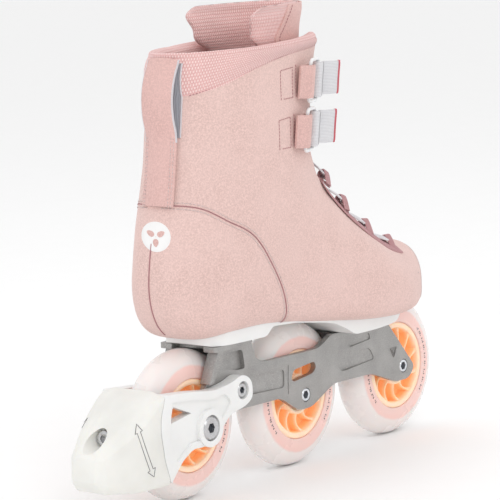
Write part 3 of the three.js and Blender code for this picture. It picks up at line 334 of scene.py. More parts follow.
finishes = {
    "suede": suedeFinish("rosySuede", (0.74, 0.535, 0.495), (0.66, 0.46, 0.42)),
    "suedeTrim": suedeFinish("rosySuedeTrim", (0.70, 0.46, 0.425), (0.62, 0.39, 0.36)),
    "knit": knitFinish("collarKnit", (0.97, 0.72, 0.69), (0.85, 0.50, 0.48), 1.8, 2.3),
    # The lining's knit is a darker, deeper pink copy of the collar knit: painted shade inside the boot.
    "lining": knitFinish("liningKnitShaded", (0.93, 0.62, 0.60), (0.80, 0.45, 0.43), 1.8, 2.2),
    "webbing": webbingFinish("whiteWebbing", (0.86, 0.86, 0.88), (0.62, 0.61, 0.64)),
    "lace": webbingFinish("laceWeave", (0.88, 0.86, 0.88), (0.70, 0.66, 0.69), 0.9),
    "pinkEdge": webbingFinish("rosyCutEdge", (0.78, 0.13, 0.17), (0.55, 0.08, 0.11), 0.7),
    "loop": webbingFinish("loopTape", (0.62, 0.33, 0.34), (0.48, 0.23, 0.25), 0.8),
    "piping": webbingFinish("whitePiping", (0.9, 0.87, 0.9), (0.74, 0.66, 0.72), 0.6),
    "airMesh": webbingFinish("greyAirMesh", (0.46, 0.48, 0.53), (0.27, 0.29, 0.33), 1.1),
    "thread": webbingFinish("paleThread", (0.88, 0.76, 0.74), (0.72, 0.56, 0.54), 0.5),
    "roseThread": webbingFinish("roseThread", (0.60, 0.28, 0.30), (0.45, 0.19, 0.2), 0.5),
    "shell": mouldedFinish("whiteShell", (0.86, 0.86, 0.85)),
    "padRubber": mouldedFinish("brakeRubber", (0.84, 0.83, 0.79), 0.5, 0.05, 0.12, 0.05),
    "ringPlastic": mouldedFinish("whiteRing", (0.88, 0.88, 0.88), 0.3, 0.3),
    "emblem": mouldedFinish("whitePrint", (0.9, 0.89, 0.88), 0.55, 0.0, 0.0),
    "ink": mouldedFinish("darkInk", (0.06, 0.05, 0.06), 0.5, 0.0, 0.0),
    "foam": suedeFinish("footbedFelt", (0.36, 0.33, 0.33), (0.27, 0.25, 0.25), 0.2),
    "cast": castFinish("castAluminium", (0.39, 0.38, 0.37)),
    "steel": steelFinish("boltSteel", (0.62, 0.62, 0.63)),
    "silver": steelFinish("axleSilver", (0.8, 0.83, 0.87), 0.18),
    # Near-black steel for the socket discs: painted shade in the hex sockets.
    "socketShade": steelFinish("paintedSocketShade", (0.06, 0.065, 0.075), 0.35),
    "tyre": urethaneFinish("pearlUrethane", (0.87, 0.81, 0.79), (0.94, 0.64, 0.59)),
    # The hub's second colour is the pale painted highlight of its outer faces.
    "hub": hubFinish("orangeHub", (1.0, 0.52, 0.23), (1.0, 0.74, 0.56)),
}
print("finishes ready")


# Making pieces.

def lengths(points):
    run = [0.0]
    for a, b in zip(points, points[1:]):
        run.append(run[-1] + (Vector(b) - Vector(a)).length)
    return run


# Skin over rows of points. The surface coordinates are millimetres along and across it.
def skin(rows, ringClosed=True, loopClosed=False, ends=None, gauge=0.5):
    count, total = len(rows[0]), len(rows)
    verts = [tuple(p) for row in rows for p in row]
    middle = rows[min(int(total * gauge), total - 1)]
    us = lengths(list(middle) + [middle[0]])
    centres = [sum((Vector(p) for p in row), Vector()) / count for row in rows]
    vs = lengths(centres + [centres[0]])
    if loopClosed or max(vs) < 1:
        vs = lengths([row[0] for row in rows] + [rows[0][0]])
    faces, marks = [], []
    for r in range(total if loopClosed else total - 1):
        for c in range(count if ringClosed else count - 1):
            c2, r2 = (c + 1) % count, (r + 1) % total
            faces.append((r * count + c, r * count + c2, r2 * count + c2, r2 * count + c))
            marks.append([(us[c], vs[r]), (us[c + 1], vs[r]), (us[c + 1], vs[r + 1]), (us[c], vs[r + 1])])
    if ends == "flat":
        for r, order in ((0, -1), (total - 1, 1)):
            ring = [r * count + i for i in range(count)][::order]
            faces.append(tuple(ring))
            marks.append([(us[i % count], vs[r]) for i in ring])
    if ends == "leaf":
        for r in (0, total - 1):
            for i in range(count // 2 - 1):
                quad = [r * count + k for k in (i, i + 1, count - 2 - i, count - 1 - i)]
                quad = quad if r else quad[::-1]
                faces.append(tuple(quad))
                marks.append([(us[k % count], vs[r]) for k in quad])
    return verts, faces, marks


def joinParts(parts):
    verts, faces, marks = [], [], []
    for v, f, m in parts:
        base = len(verts)
        verts += v
        faces += [tuple(i + base for i in face) for face in f]
        marks += m
    return verts, faces, marks


def makePiece(name, parts, finish, body=rest, stands=(), sharp=40):
    verts, faces, marks = parts
    mesh = bpy.data.meshes.new(name)
    mesh.from_pydata([inPlace(v) for v in verts], [], faces)
    layer = mesh.uv_layers.new(name="cloth")
    flat = [uv for face in marks for uv in face]
    for loop, uv in zip(layer.data, flat):
        loop.uv = uv
    work = bmesh.new()
    work.from_mesh(mesh)
    bmesh.ops.recalc_face_normals(work, faces=work.faces)
    work.to_mesh(mesh)
    work.free()
    mesh.shade_smooth()
    if sharp:
        mesh.set_sharp_from_angle(angle=math.radians(sharp))
    piece = bpy.data.objects.new(name, mesh)
    bpy.context.scene.collection.objects.link(piece)
    return dress(piece, finish, body, stands)


def dress(piece, finish, body=rest, stands=()):
    piece.data.materials.clear()
    piece.data.materials.append(finishes[finish])
    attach(piece, body)
    if stands:
        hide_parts(*stands)
    return piece


def applied(piece):
    bpy.context.view_layer.update()
    graph = bpy.context.evaluated_depsgraph_get()
    mesh = bpy.data.meshes.new_from_object(piece.evaluated_get(graph))
    piece.modifiers.clear()
    piece.data = mesh
    return piece


def rawSolid(parts, name="blank"):
    mesh = bpy.data.meshes.new(name)
    mesh.from_pydata([inPlace(v) for v in parts[0]], [], parts[1])
    work = bmesh.new()
    work.from_mesh(mesh)
    bmesh.ops.remove_doubles(work, verts=work.verts, dist=2e-6)
    bmesh.ops.recalc_face_normals(work, faces=work.faces)
    work.to_mesh(mesh)
    work.free()
    blank = bpy.data.objects.new(name, mesh)
    bpy.context.scene.collection.objects.link(blank)
    return blank


def carve(target, tools, how="DIFFERENCE"):
    for tool in tools:
        step = target.modifiers.new("cut", "BOOLEAN")
        step.operation, step.solver, step.object = how, "EXACT", tool
        applied(target)
        old = tool.data
        bpy.data.objects.remove(tool)
        bpy.data.meshes.remove(old)
    return target


def roundEdges(piece, width, angle=32, segments=3):
    bevel = piece.modifiers.new("roundedEdges", "BEVEL")
    bevel.width, bevel.segments = width / 1000, segments
    bevel.limit_method, bevel.angle_limit = "ANGLE", math.radians(angle)
    bevel.harden_normals = False
    bevel.miter_outer = "MITER_ARC"
    applied(piece)
    piece.data.shade_smooth()
    piece.data.set_sharp_from_angle(angle=math.radians(38))
    return piece


# Outline through corner points (a, b, rounding), each corner an arc-like curve.
def cornerOutline(points, steps=6, grow=1.0):
    outline = []
    n = len(points)
    for i, p in enumerate(points):
        here = Vector(p[:2])
        before, after = Vector(points[i - 1][:2]) - here, Vector(points[(i + 1) % n][:2]) - here
        r = min(p[2] * grow, before.length * 0.48, after.length * 0.48)
        if r < 0.05:
            outline.append(tuple(here))
            continue
        start, end = here + before.normalized() * r, here + after.normalized() * r
        for k in range(steps + 1):
            t = k / steps
            outline.append(tuple(start * (1 - t) ** 2 + here * 2 * t * (1 - t) + end * t * t))
    return outline


def sidePrism(points, y0, y1, steps=6):
    ring = cornerOutline(points, steps)
    return skin([[(x, y0, z) for x, z in ring], [(x, y1, z) for x, z in ring]], ends="flat")


def planPrism(points, z0, z1, steps=6):
    ring = cornerOutline(points, steps)
    return skin([[(x, y, z0) for x, y in ring], [(x, y, z1) for x, y in ring]], ends="flat")


def rodY(radius, y0, y1, x, z, sides=40):
    ring = [(x + radius * math.cos(math.tau * k / sides), z + radius * math.sin(math.tau * k / sides))
            for k in range(sides)]
    return skin([[(a, y0, b) for a, b in ring], [(a, y1, b) for a, b in ring]], ends="flat")


def rodZ(radius, z0, z1, x, y, sides=32):
    ring = [(x + radius * math.cos(math.tau * k / sides), y + radius * math.sin(math.tau * k / sides))
            for k in range(sides)]
    return skin([[(a, b, z0) for a, b in ring], [(a, b, z1) for a, b in ring]], ends="flat")


# Closed profile of (radius, y) turned about the line along Y through (x, z).
def turned(profile, x, z, sides=96):
    rows = []
    for k in range(sides):
        a = math.tau * k / sides
        rows.append([(x + r * math.cos(a), y, z + r * math.sin(a)) for r, y in profile])
    return skin(rows, loopClosed=True)


# Ribbon of one width and thickness along a route of (point, outward direction).
def ribbon(route, width, thick, columns=8, crown=0.0, ends="leaf"):
    rows = []
    points = [Vector(p) for p, up in route]
    for i, (p, up) in enumerate(route):
        along = (points[min(i + 1, len(points) - 1)] - points[max(i - 1, 0)]).normalized()
        up = (Vector(up) - along * Vector(up).dot(along)).normalized()
        side = along.cross(up)
        upper, lower = [], []
        for k in range(columns + 1):
            u = 2 * k / columns - 1
            edge = 1 - 0.45 * abs(u) ** 8
            lift = crown * (1 - u * u)
            upper.append(Vector(p) + side * (u * width / 2) + up * (thick / 2 * edge + lift))
            lower.append(Vector(p) + side * (u * width / 2) + up * (-thick / 2 * edge + lift))
        rows.append(upper + lower[::-1])
    return skin(rows, ends=ends)


# Round thread or wire along points.
def wire(points, radius, sides=8, closed=False, ends="flat"):
    points = [Vector(p) for p in points]
    n = len(points)
    rows, normal = [], None
    for i, p in enumerate(points):
        a = points[(i - 1) % n] if closed else points[max(i - 1, 0)]
        b = points[(i + 1) % n] if closed else points[min(i + 1, n - 1)]
        along = (b - a).normalized()
        if normal is None:
            normal = along.orthogonal().normalized()
        normal = (normal - along * normal.dot(along)).normalized()
        other = along.cross(normal)
        rows.append([p + (normal * math.cos(math.tau * k / sides) + other * math.sin(math.tau * k / sides))
                     * radius for k in range(sides)])
    return skin(rows, loopClosed=closed, ends=None if closed else ends)


def smoothPath(points, steps=6):
    points = [tuple(p) for p in points]
    out = []
    for i in range(len(points) - 1):
        p0, p1 = points[max(i - 1, 0)], points[i]
        p2, p3 = points[i + 1], points[min(i + 2, len(points) - 1)]
        for k in range(steps):
            t = k / steps
            out.append(tuple(0.5 * (2 * b + (c - a) * t + (2 * a - 5 * b + 4 * c - d) * t * t
                                    + (3 * b - a - 3 * c + d) * t ** 3)
                             for a, b, c, d in zip(p0, p1, p2, p3)))
    out.append(points[-1])
    return out


def smoothRoute(route, steps=4):
    joined = smoothPath([tuple(p) + tuple(up) for p, up in route], steps)
    return [(Vector(row[:3]), Vector(row[3:]).normalized()) for row in joined]


# Wheels.

wheel = {"radius": 50, "halfWidth": 11.7, "rim": 30.6, "gap": 116.5, "bearing": 11, "bore": 4,
         "bearingWidth": 7, "spacerHalf": 5, "spokes": 11, "sides": 128}
fit = 0.3
axleZ = wheel["radius"]
wheelX = {"front": wheel["gap"], "middle": 0, "rear": -wheel["gap"]}


def markDepth(piece, measure):
    values = [measure(v.co * 1000) for v in piece.data.vertices]
    layer = piece.data.attributes.new("depth", "FLOAT", "POINT")
    layer.data.foreach_set("value", values)


def tyrePiece(place, x):
    inside = wheel["rim"] + fit
    profile = []
    for i in range(41):
        a = -math.pi / 2 + math.pi * i / 40
        reach = abs(math.cos(a)) ** 0.79
        profile.append((inside + 0.7 + (wheel["radius"] - inside - 0.7) * reach,
                        wheel["halfWidth"] * math.sin(a)))
    profile += [(inside, wheel["halfWidth"] - 0.6), (inside, 0), (inside, -wheel["halfWidth"] + 0.6)]
    piece = makePiece("tyreSkin_" + place, turned(profile, x, axleZ, wheel["sides"]), "tyre",
                      "wheel_" + place, ["tyre_" + place])
    centre = inPlace((x, 0, axleZ)) * 1000
    markDepth(piece, lambda p: 1 - (Vector((p.x - centre.x, 0, p.z - centre.z)).length - 30) / 20)
    return piece


# Rim and core rings carry curved spokes with a thin web set back between them.
def hubPiece(place, x):
    face, rim, core = wheel["halfWidth"] - 0.6, wheel["rim"], wheel["bearing"]
    parts = [turned([(rim, face - 0.5), (rim - 0.6, face), (rim - 3.2, face), (rim - 3.8, face - 0.6),
                     (rim - 4.9, 2), (rim - 5.2, 0), (rim - 4.9, -2), (rim - 3.8, -face + 0.6),
                     (rim - 3.2, -face), (rim - 0.6, -face), (rim, -face + 0.5)], x, axleZ),
             turned([(core + 2.8, face - 0.6), (core + 2.2, face), (core + 0.9, face),
             (core + 0.3, face - 0.6),
                     (core + 0.3, 5), (core - 2, 5), (core - 2, -5), (core + 0.3, -5),
                     (core + 0.3, -face + 0.6),
                     (core + 0.9, -face), (core + 2.2, -face), (core + 2.8, -face + 0.6)], x, axleZ)]
    parts.append(turned([(core + 1.9, 3), (rim - 4.6, 2.6), (rim - 4.6, -2.6), (core + 1.9, -3)], x, axleZ))
    for i in range(wheel["spokes"]):
        turn = math.tau * i / wheel["spokes"]
        rows = []
        for k in range(13):
            t = k / 12
            r = core + 1.8 + (rim - 4.2 - core - 1.8) * t
            a = turn + 0.26 * t * t
            half = (1.5 - 0.6 * math.sin(math.pi * t) + 1.1 * max(0, t - 0.8) * 5) / 2 + 0.35
            deep = 8.9 + 1.2 * (2 * t - 1) ** 2
            outline = [(-half, deep - 0.5), (-half + 0.45, deep), (half - 0.45, deep), (half, deep - 0.5),
                       (half + 0.5, 0), (half, -deep + 0.5), (half - 0.45, -deep), (-half + 0.45, -deep),
                       (-half, -deep + 0.5), (-half - 0.5, 0)]
            out, tangent = Vector((math.cos(a), 0, math.sin(a))), Vector((-math.sin(a), 0, math.cos(a)))
            centre = Vector((x, 0, axleZ)) + out * r
            rows.append([centre + tangent * w + Vector((0, d, 0)) for w, d in outline])
        parts.append(skin(rows, ends="flat"))
    piece = makePiece("hubCore_" + place, joinParts(parts), "hub", "wheel_" + place, ["hub_" + place], 50)
    middle = inPlace((0, 0, 0)).y * 1000
    # Hub depth: how near a point is to the outer faces, which the finish paints paler as a painted highlight.
    markDepth(piece, lambda p: (abs(p.y - middle) - 4) / 7)
    return piece


def bearingPiece(place, x, side):
    inner = wheel["spacerHalf"] + fit
    outer = inner + wheel["bearingWidth"] - fit
    bore, ring = wheel["bore"], wheel["bearing"]
    flip = 1 if side == "left" else -1
    profile = [(bore, inner), (ring - 0.3, inner), (ring, inner + 0.3), (ring, outer - 0.3),
    (ring - 0.3, outer),
               (ring - 1.7, outer), (ring - 2.0, outer - 0.6), (bore + 2.5, outer - 0.6), (bore + 2.2, outer),
               (bore + 0.3, outer), (bore, outer - 0.3)]
    name = place + "_" + side
    makePiece("bearingRings_" + name, turned([(r, y * flip) for r, y in profile], x, axleZ, 64), "steel",
              "wheel_" + place, ["bearing_" + name])


# Ticks, dots and dashes round the tyre's face, where a maker's print would stand.
def tyrePrint(place, x):
    parts = []
    pattern = [(1, "dash"), (1, "dot"), (1, "dash"), (1, "gap"),
               (1, "dot"), (1, "dash"), (1, "dash"), (1, "gap")]
    for side in (-1, 1):
        for start, count in ((2.6, 30), (5.6, 34)):
            for k in range(count):
                mark = pattern[k % len(pattern)][1]
                if mark == "gap":
                    continue
                a = start + k * 0.042
                wide, tall = (0.011, 1.5) if mark == "dash" else (0.011, 0.55)
                rows = []
                for aa in (a - wide, a + wide):
                    ring = []
                    for rr, lift in ((34.6, -0.3), (34.6, 0.05), (34.6 + tall, 0.05), (34.6 + tall, -0.3)):
                        reach = (rr - 31.6) / 18.4
                        sine = math.sqrt(max(0, 1 - reach ** (2 / 0.79)))
                        y = side * (wheel["halfWidth"] * sine + lift)
                        ring.append((x + rr * math.cos(aa), y, axleZ + rr * math.sin(aa)))
                    rows.append(ring)
                parts.append(skin(rows, ends="flat"))
    makePiece("tyreTicks_" + place, joinParts(parts), "ink", "wheel_" + place)


for place, x in wheelX.items():
    tyrePiece(place, x)
    hubPiece(place, x)
    tyrePrint(place, x)
    for side in ("left", "right"):
        bearingPiece(place, x, side)
print("wheels ready")


# Frame.

chassis = {"outside": 17.4, "inside": 13.2,
           "well": wheel["radius"] + 1.6, "wellHalf": wheel["halfWidth"] + 1.8,
           "screw": (-80.2, 68.4), "bolts": [(68, 7), (68, -7), (-76, 0)], "round": 0.7}
plateOutline = [
    (130.5, 47.5, 5), (98, 84.6, 2), (97, 86.6, 0.5), (31, 86.6, 3), (17, 79.4, 8), (-45, 80.6, 8),
    (-55, 85, 5), (-59, 100.4, 0.5), (-95, 100.4, 0.5), (-109, 72, 6), (-128, 56, 6), (-127, 44, 6),
    (-117, 39, 5), (-104, 41, 6), (-92, 51.6, 8), (-72, 53.4, 4), (-28, 52.6, 5), (-17, 45.6, 4),
    (-8, 40.6, 4), (6, 40.6, 4), (22, 47.6, 5), (33, 52.2, 5), (78, 51, 6), (93, 45.2, 5),
    (106, 40.3, 4), (122, 40, 4)]


def wheelWells(half):
    return [rawSolid(rodY(chassis["well"], -half, half, x, axleZ, 72)) for x in wheelX.values()]


def framePiece():
    out, inn = chassis["outside"], chassis["inside"]
    body = rawSolid(sidePrism(plateOutline, inn, out), "frameCasting")
    adds = [sidePrism(plateOutline, -out, -inn),
            planPrism([(31, -out, 2), (97, -out - 2.6, 3), (97, out + 2.6, 3), (31, out, 2)], 82.6, 86.6),
            planPrism([(-59, -out - 2.6, 2), (-94, -out - 6.4, 2), (-104, -out - 6.4, 3), (-104, -inn, 1),
                       (-95, -inn, 1), (-95, inn, 1), (-104, inn, 1), (-104, out + 6.4, 3),
                       (-94, out + 6.4, 2), (-59, out + 2.6, 2)], 96.8, 100.4),
            sidePrism([(48, 84, 1), (56, 84, 1), (57, 66, 1), (53, 66, 1)], -14, 14),
            sidePrism([(-64, 98, 1), (-52, 79, 1), (-56.4, 66, 1), (-60.6, 66, 1)], -14, 14)]
    flange = [(-91, 100.1, 1), (-97.5, 100.1, 1), (-109.4, 76.4, 1), (-104.6, 76.4, 1)]
    adds += [sidePrism(flange, inn + 0.5, out + 4.4), sidePrism(flange, -out - 4.4, -inn - 0.5)]
    carve(body, [rawSolid(a) for a in adds], "UNION")
    carve(body, wheelWells(inn - 0.1))
    bosses = []
    for x in wheelX.values():
        bosses += [rodY(7.5, inn - 0.75, inn + 1, x, axleZ), rodY(7.5, -inn - 1, -inn + 0.75, x, axleZ)]
    carve(body, [rawSolid(b) for b in bosses], "UNION")
    window = [(-16, 63.2, 3), (-13, 61.4, 3), (9, 63.6, 3), (12.6, 67, 3), (10.6, 71.4, 3), (-13, 69.4, 3)]
    pockets = [([(38.5, 61, 3), (44, 58.6, 3), (81, 61, 3), (76, 70, 4), (42, 72.4, 4)], 3.3, 0.5),
               ([(-62, 61, 2), (-24, 59.4, 3), (-23.5, 71.6, 3), (-57, 74, 3)], 3.3, 0.9),
               ([(-66, 80, 2), (-68, 93, 3), (-86, 93, 3), (-92, 84, 3), (-74, 80, 2)], 1.4, 3.2),
               ([(50, 76, 2), (53, 74.2, 2), (77, 76, 2), (76, 80.6, 2), (52, 80, 2)], 1.5, 0.7)]
    cuts = [sidePrism(window, -20, 20)]
    for side in (-1, 1):
        for shape, first, last in pockets:
            ring = cornerOutline(shape)
            low, high = min(p[0] for p in ring), max(p[0] for p in ring)
            deep = [first + (last - first) * (p[0] - low) / (high - low) for p in ring]
            cuts.append(skin([[(p[0], side * (out + 3), p[1]) for p in ring],
                              [(p[0], side * (out - d), p[1]) for p, d in zip(ring, deep)]], ends="flat"))
    carve(body, [rawSolid(c) for c in cuts])
    holes = [rodY(wheel["bore"], -20, 20, wheelX[p], axleZ) for p in ("front", "middle")]
    holes += [rodY(4.9, -20, -out + 2.5, wheelX[p], axleZ) for p in ("front", "middle")]
    holes += [rodY(wheel["bore"], -24, 24, wheelX["rear"], axleZ), rodY(2.8, -24, 24, *chassis["screw"])]
    holes += [rodZ(3.3, 70, 110, x, y) for x, y in chassis["bolts"]]
    carve(body, [rawSolid(h) for h in holes])
    roundEdges(body, chassis["round"])
    dress(body, "cast", rest, ["frame"])
    trims = []
    for side in (-1, 1):
        y = side * (out + 0.15)
        for scale in (4.4, 2.5):
            corners = [(104.7 + scale * math.cos(a), y, 62.6 + scale * math.sin(a))
                       for a in (math.radians(d) for d in (-90, 30, 150))]
            trims.append(wire(corners, 0.35, 6, closed=True))
        trims.append(wire([(-19.5, y, 54), (-19.5, y, 61), (-18.6, y, 74)], 0.25, 6))
    makePiece("frameRibs", joinParts(trims), "cast")
    print("frame ready")


framePiece()


# Screws.

def screwHead(x, z, radius, thick, face, hexWide, side, chamfer=0.6):
    steps = 48
    rows = []
    out = -1 if side < 0 else 1
    depth = thick * 0.62
    for r, y in ((radius, 0), (radius, thick - chamfer), (radius - chamfer, thick), (hexWide + 0.7, thick)):
        rows.append([(x + r * math.cos(math.tau * k / steps), face + out * y,
                      z + r * math.sin(math.tau * k / steps))
                     for k in range(steps)])
    for grow, y in ((1.0, thick - 0.3), (0.97, thick - depth)):
        ring = []
        for k in range(steps):
            a = math.tau * k / steps
            flat = math.cos((a % (math.pi / 3)) - math.pi / 6)
            r = hexWide * 0.89 / flat * grow
            ring.append((x + r * math.cos(a), face + out * y, z + r * math.sin(a)))
        rows.append(ring)
    return skin(rows, ends="flat")


screws = {"axle": {"head": 4.6, "thick": 2.2, "hex": 2.9}, "rear": {"head": 8, "thick": 3.4, "hex": 3.4},
          "arm": {"head": 4.8, "thick": 3, "hex": 2.4}}


# A near-black steel disc at the bottom of each hex socket: painted shade in the socket.
def socketShadeDisc(x, z, face, radius, side):
    return rodY(radius, *sorted((face, face + side * 0.3)), x, z, 24)


def axlePieces():
    out = chassis["outside"]
    for place in ("front", "middle"):
        x = wheelX[place]
        size = screws["axle"]
        parts = [screwHead(x, axleZ, size["head"], size["thick"], -out + size["thick"], size["hex"], -1, 0.5),
                 rodY(3.7, -out + 1.5, out - 0.6, x, axleZ, 32)]
        makePiece("axleScrew_" + place, joinParts(parts), "silver", rest, ["axle_" + place])
        makePiece("axleSocketShade_" + place, socketShadeDisc(x, axleZ, -out + size["thick"] * 0.62, 3.1, -1),
                  "socketShade")
        ring = [(x + 3.5 * math.cos(math.tau * k / 40), out - 0.4, axleZ + 3.5 * math.sin(math.tau * k / 40))
                for k in range(40)]
        makePiece("axleTip_" + place, wire(ring, 0.3, 6, closed=True), "silver")
    arm = brake["armOutside"]
    x = wheelX["rear"]
    size = screws["rear"]
    seat = -arm + 2.2 - fit
    parts = [screwHead(x, axleZ, size["head"], size["thick"], seat, size["hex"], -1, 1.1),
             rodY(3.7, seat - 1, arm - 2.6, x, axleZ, 32)]
    makePiece("rearAxleScrew", joinParts(parts), "steel", rest, ["axle_rear"])
    makePiece("rearAxleSocketShade", socketShadeDisc(x, axleZ, seat - 1.25, 3.3, -1), "socketShade")
    seat = arm - 2.2 + fit
    rows = []
    for r, y in ((8, 0), (8, 2.4), (7.4, 3.1), (5, 4), (2.4, 4.35), (0.4, 4.4)):
        rows.append([(x + r * math.cos(math.tau * k / 48), seat + y, axleZ + r * math.sin(math.tau * k / 48))
                     for k in range(48)])
    makePiece("rearAxleCap", skin(rows, ends="flat"), "steel", rest, ["axle_cap_rear"])
    size = screws["arm"]
    for name, side in (("left", 1), ("right", -1)):
        face = side * (arm - 4 - fit + 2 * fit)
        x, z = chassis["screw"]
        parts = [screwHead(x, z, size["head"], size["thick"], face, size["hex"], side, 0.7),
                 rodY(2.5, *sorted((side * (chassis["inside"] + 0.4), face + side)), x, z, 28)]
        makePiece("armScrew_" + name, joinParts(parts), "steel", rest, ["arm_bolt_" + name])
        makePiece("armSocketShade_" + name, socketShadeDisc(x, z, face + side * 1.14, 2.4, side), "socketShade")
    for node in ("deck_bolt_front_left", "deck_bolt_front_right", "deck_bolt_rear", "pad_nut",
                 "spacer_front", "spacer_middle", "spacer_rear"):
        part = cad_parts[node]
        part.data.materials.clear()
        part.data.materials.append(finishes["steel"])
        bevel = part.modifiers.new("softEdges", "BEVEL")
        bevel.width, bevel.segments, bevel.limit_method = 0.0003, 2, "ANGLE"
    print("screws ready")


# Heel brake.

brake = {"armInside": chassis["outside"] + fit, "armOutside": 26.5, "tang": 20.5, "padFace": -163,
         "padScrew": 54.5, "padSeat": -187, "bridgeBack": -181, "bridgeFront": -169.6,
         "armRound": 1.3, "padRound": 2.6}


def brakeArm():
    inn, out, face = brake["armInside"], brake["armOutside"], brake["padFace"]
    outline = [(-70, 62, 6), (-70.5, 74, 7), (-80, 79.4, 6), (-92, 75.4, 6), (-110, 73.4, 6), (-132, 76.6, 4),
               (face + 3.6, 79, 1), (face - 1.6, 66, 4), (face - 2.4, 56, 4), (face + 0.6, 36, 4),
               (face + 5.4, 21.6, 1), (-146, 33.4, 4), (-134, 39.8, 5), (-122, 38.4, 6), (-106, 45.4, 6),
               (-94.6, 55, 5), (-78, 57.6, 6)]
    body = None
    for side in (-1, 1):
        span = sorted((side * inn, side * out))
        half = rawSolid(sidePrism(outline, *span), "brakeBracket")
        lip = sorted((side * (out - 1.7), side * (out + 2)))
        cuts = [sidePrism([(-154.6, 59.4, 1.5), (-132.6, 62.6, 1.5), (-151.2, 70.2, 1.5)],
                          span[0] - 1, span[1] + 1),
                sidePrism([(-153.6, 73.4, 2), (-131, 71.2, 4), (-112, 68, 5), (-99, 69.6, 3), (-93, 63, 4),
                           (-98, 58, 3), (-107, 50, 4), (-122, 43.4, 4), (-136, 43.6, 3), (-150.6, 33.4, 2),
                           (-157.4, 50, 4)], *lip)]
        carve(half, [rawSolid(c) for c in cuts])
        ring = sorted((side * (out - 3), side * (out + 1.4)))
        carve(half, [rawSolid(rodY(12.4, *ring, wheelX["rear"], axleZ, 60))], "UNION")
        tang = sorted((side * inn, side * brake["tang"]))
        carve(half, [rawSolid(sidePrism([
            (face + 6, 34, 2), (brake["bridgeBack"], 45, 2), (brake["bridgeBack"], 63, 2), (-170, 68, 2),
            (face + 6, 68, 2)], *tang))], "UNION")
        body = half if body is None else carve(body, [half], "UNION")
    bridge = [(brake["bridgeBack"], 45, 0), (brake["bridgeBack"], 63, 0), (brake["bridgeFront"], 63, 0),
              (brake["bridgeFront"], 45, 0)]
    carve(body, [rawSolid(sidePrism(bridge, -inn - 1, inn + 1))], "UNION")
    cuts = []
    for side in (-1, 1):
        span = lambda deep: sorted((side * (out - deep), side * (out + 2)))
        cuts += [rodY(8.6, *span(2.2), wheelX["rear"], axleZ, 60), rodY(6, *span(4), *chassis["screw"], 48)]
    cuts += [rodY(wheel["bore"], -30, 30, wheelX["rear"], axleZ), rodY(2.8, -30, 30, *chassis["screw"])]
    carve(body, [rawSolid(c) for c in cuts])
    roundEdges(body, brake["armRound"], 30, 4)
    dress(body, "shell", rest, ["brake_arm"])


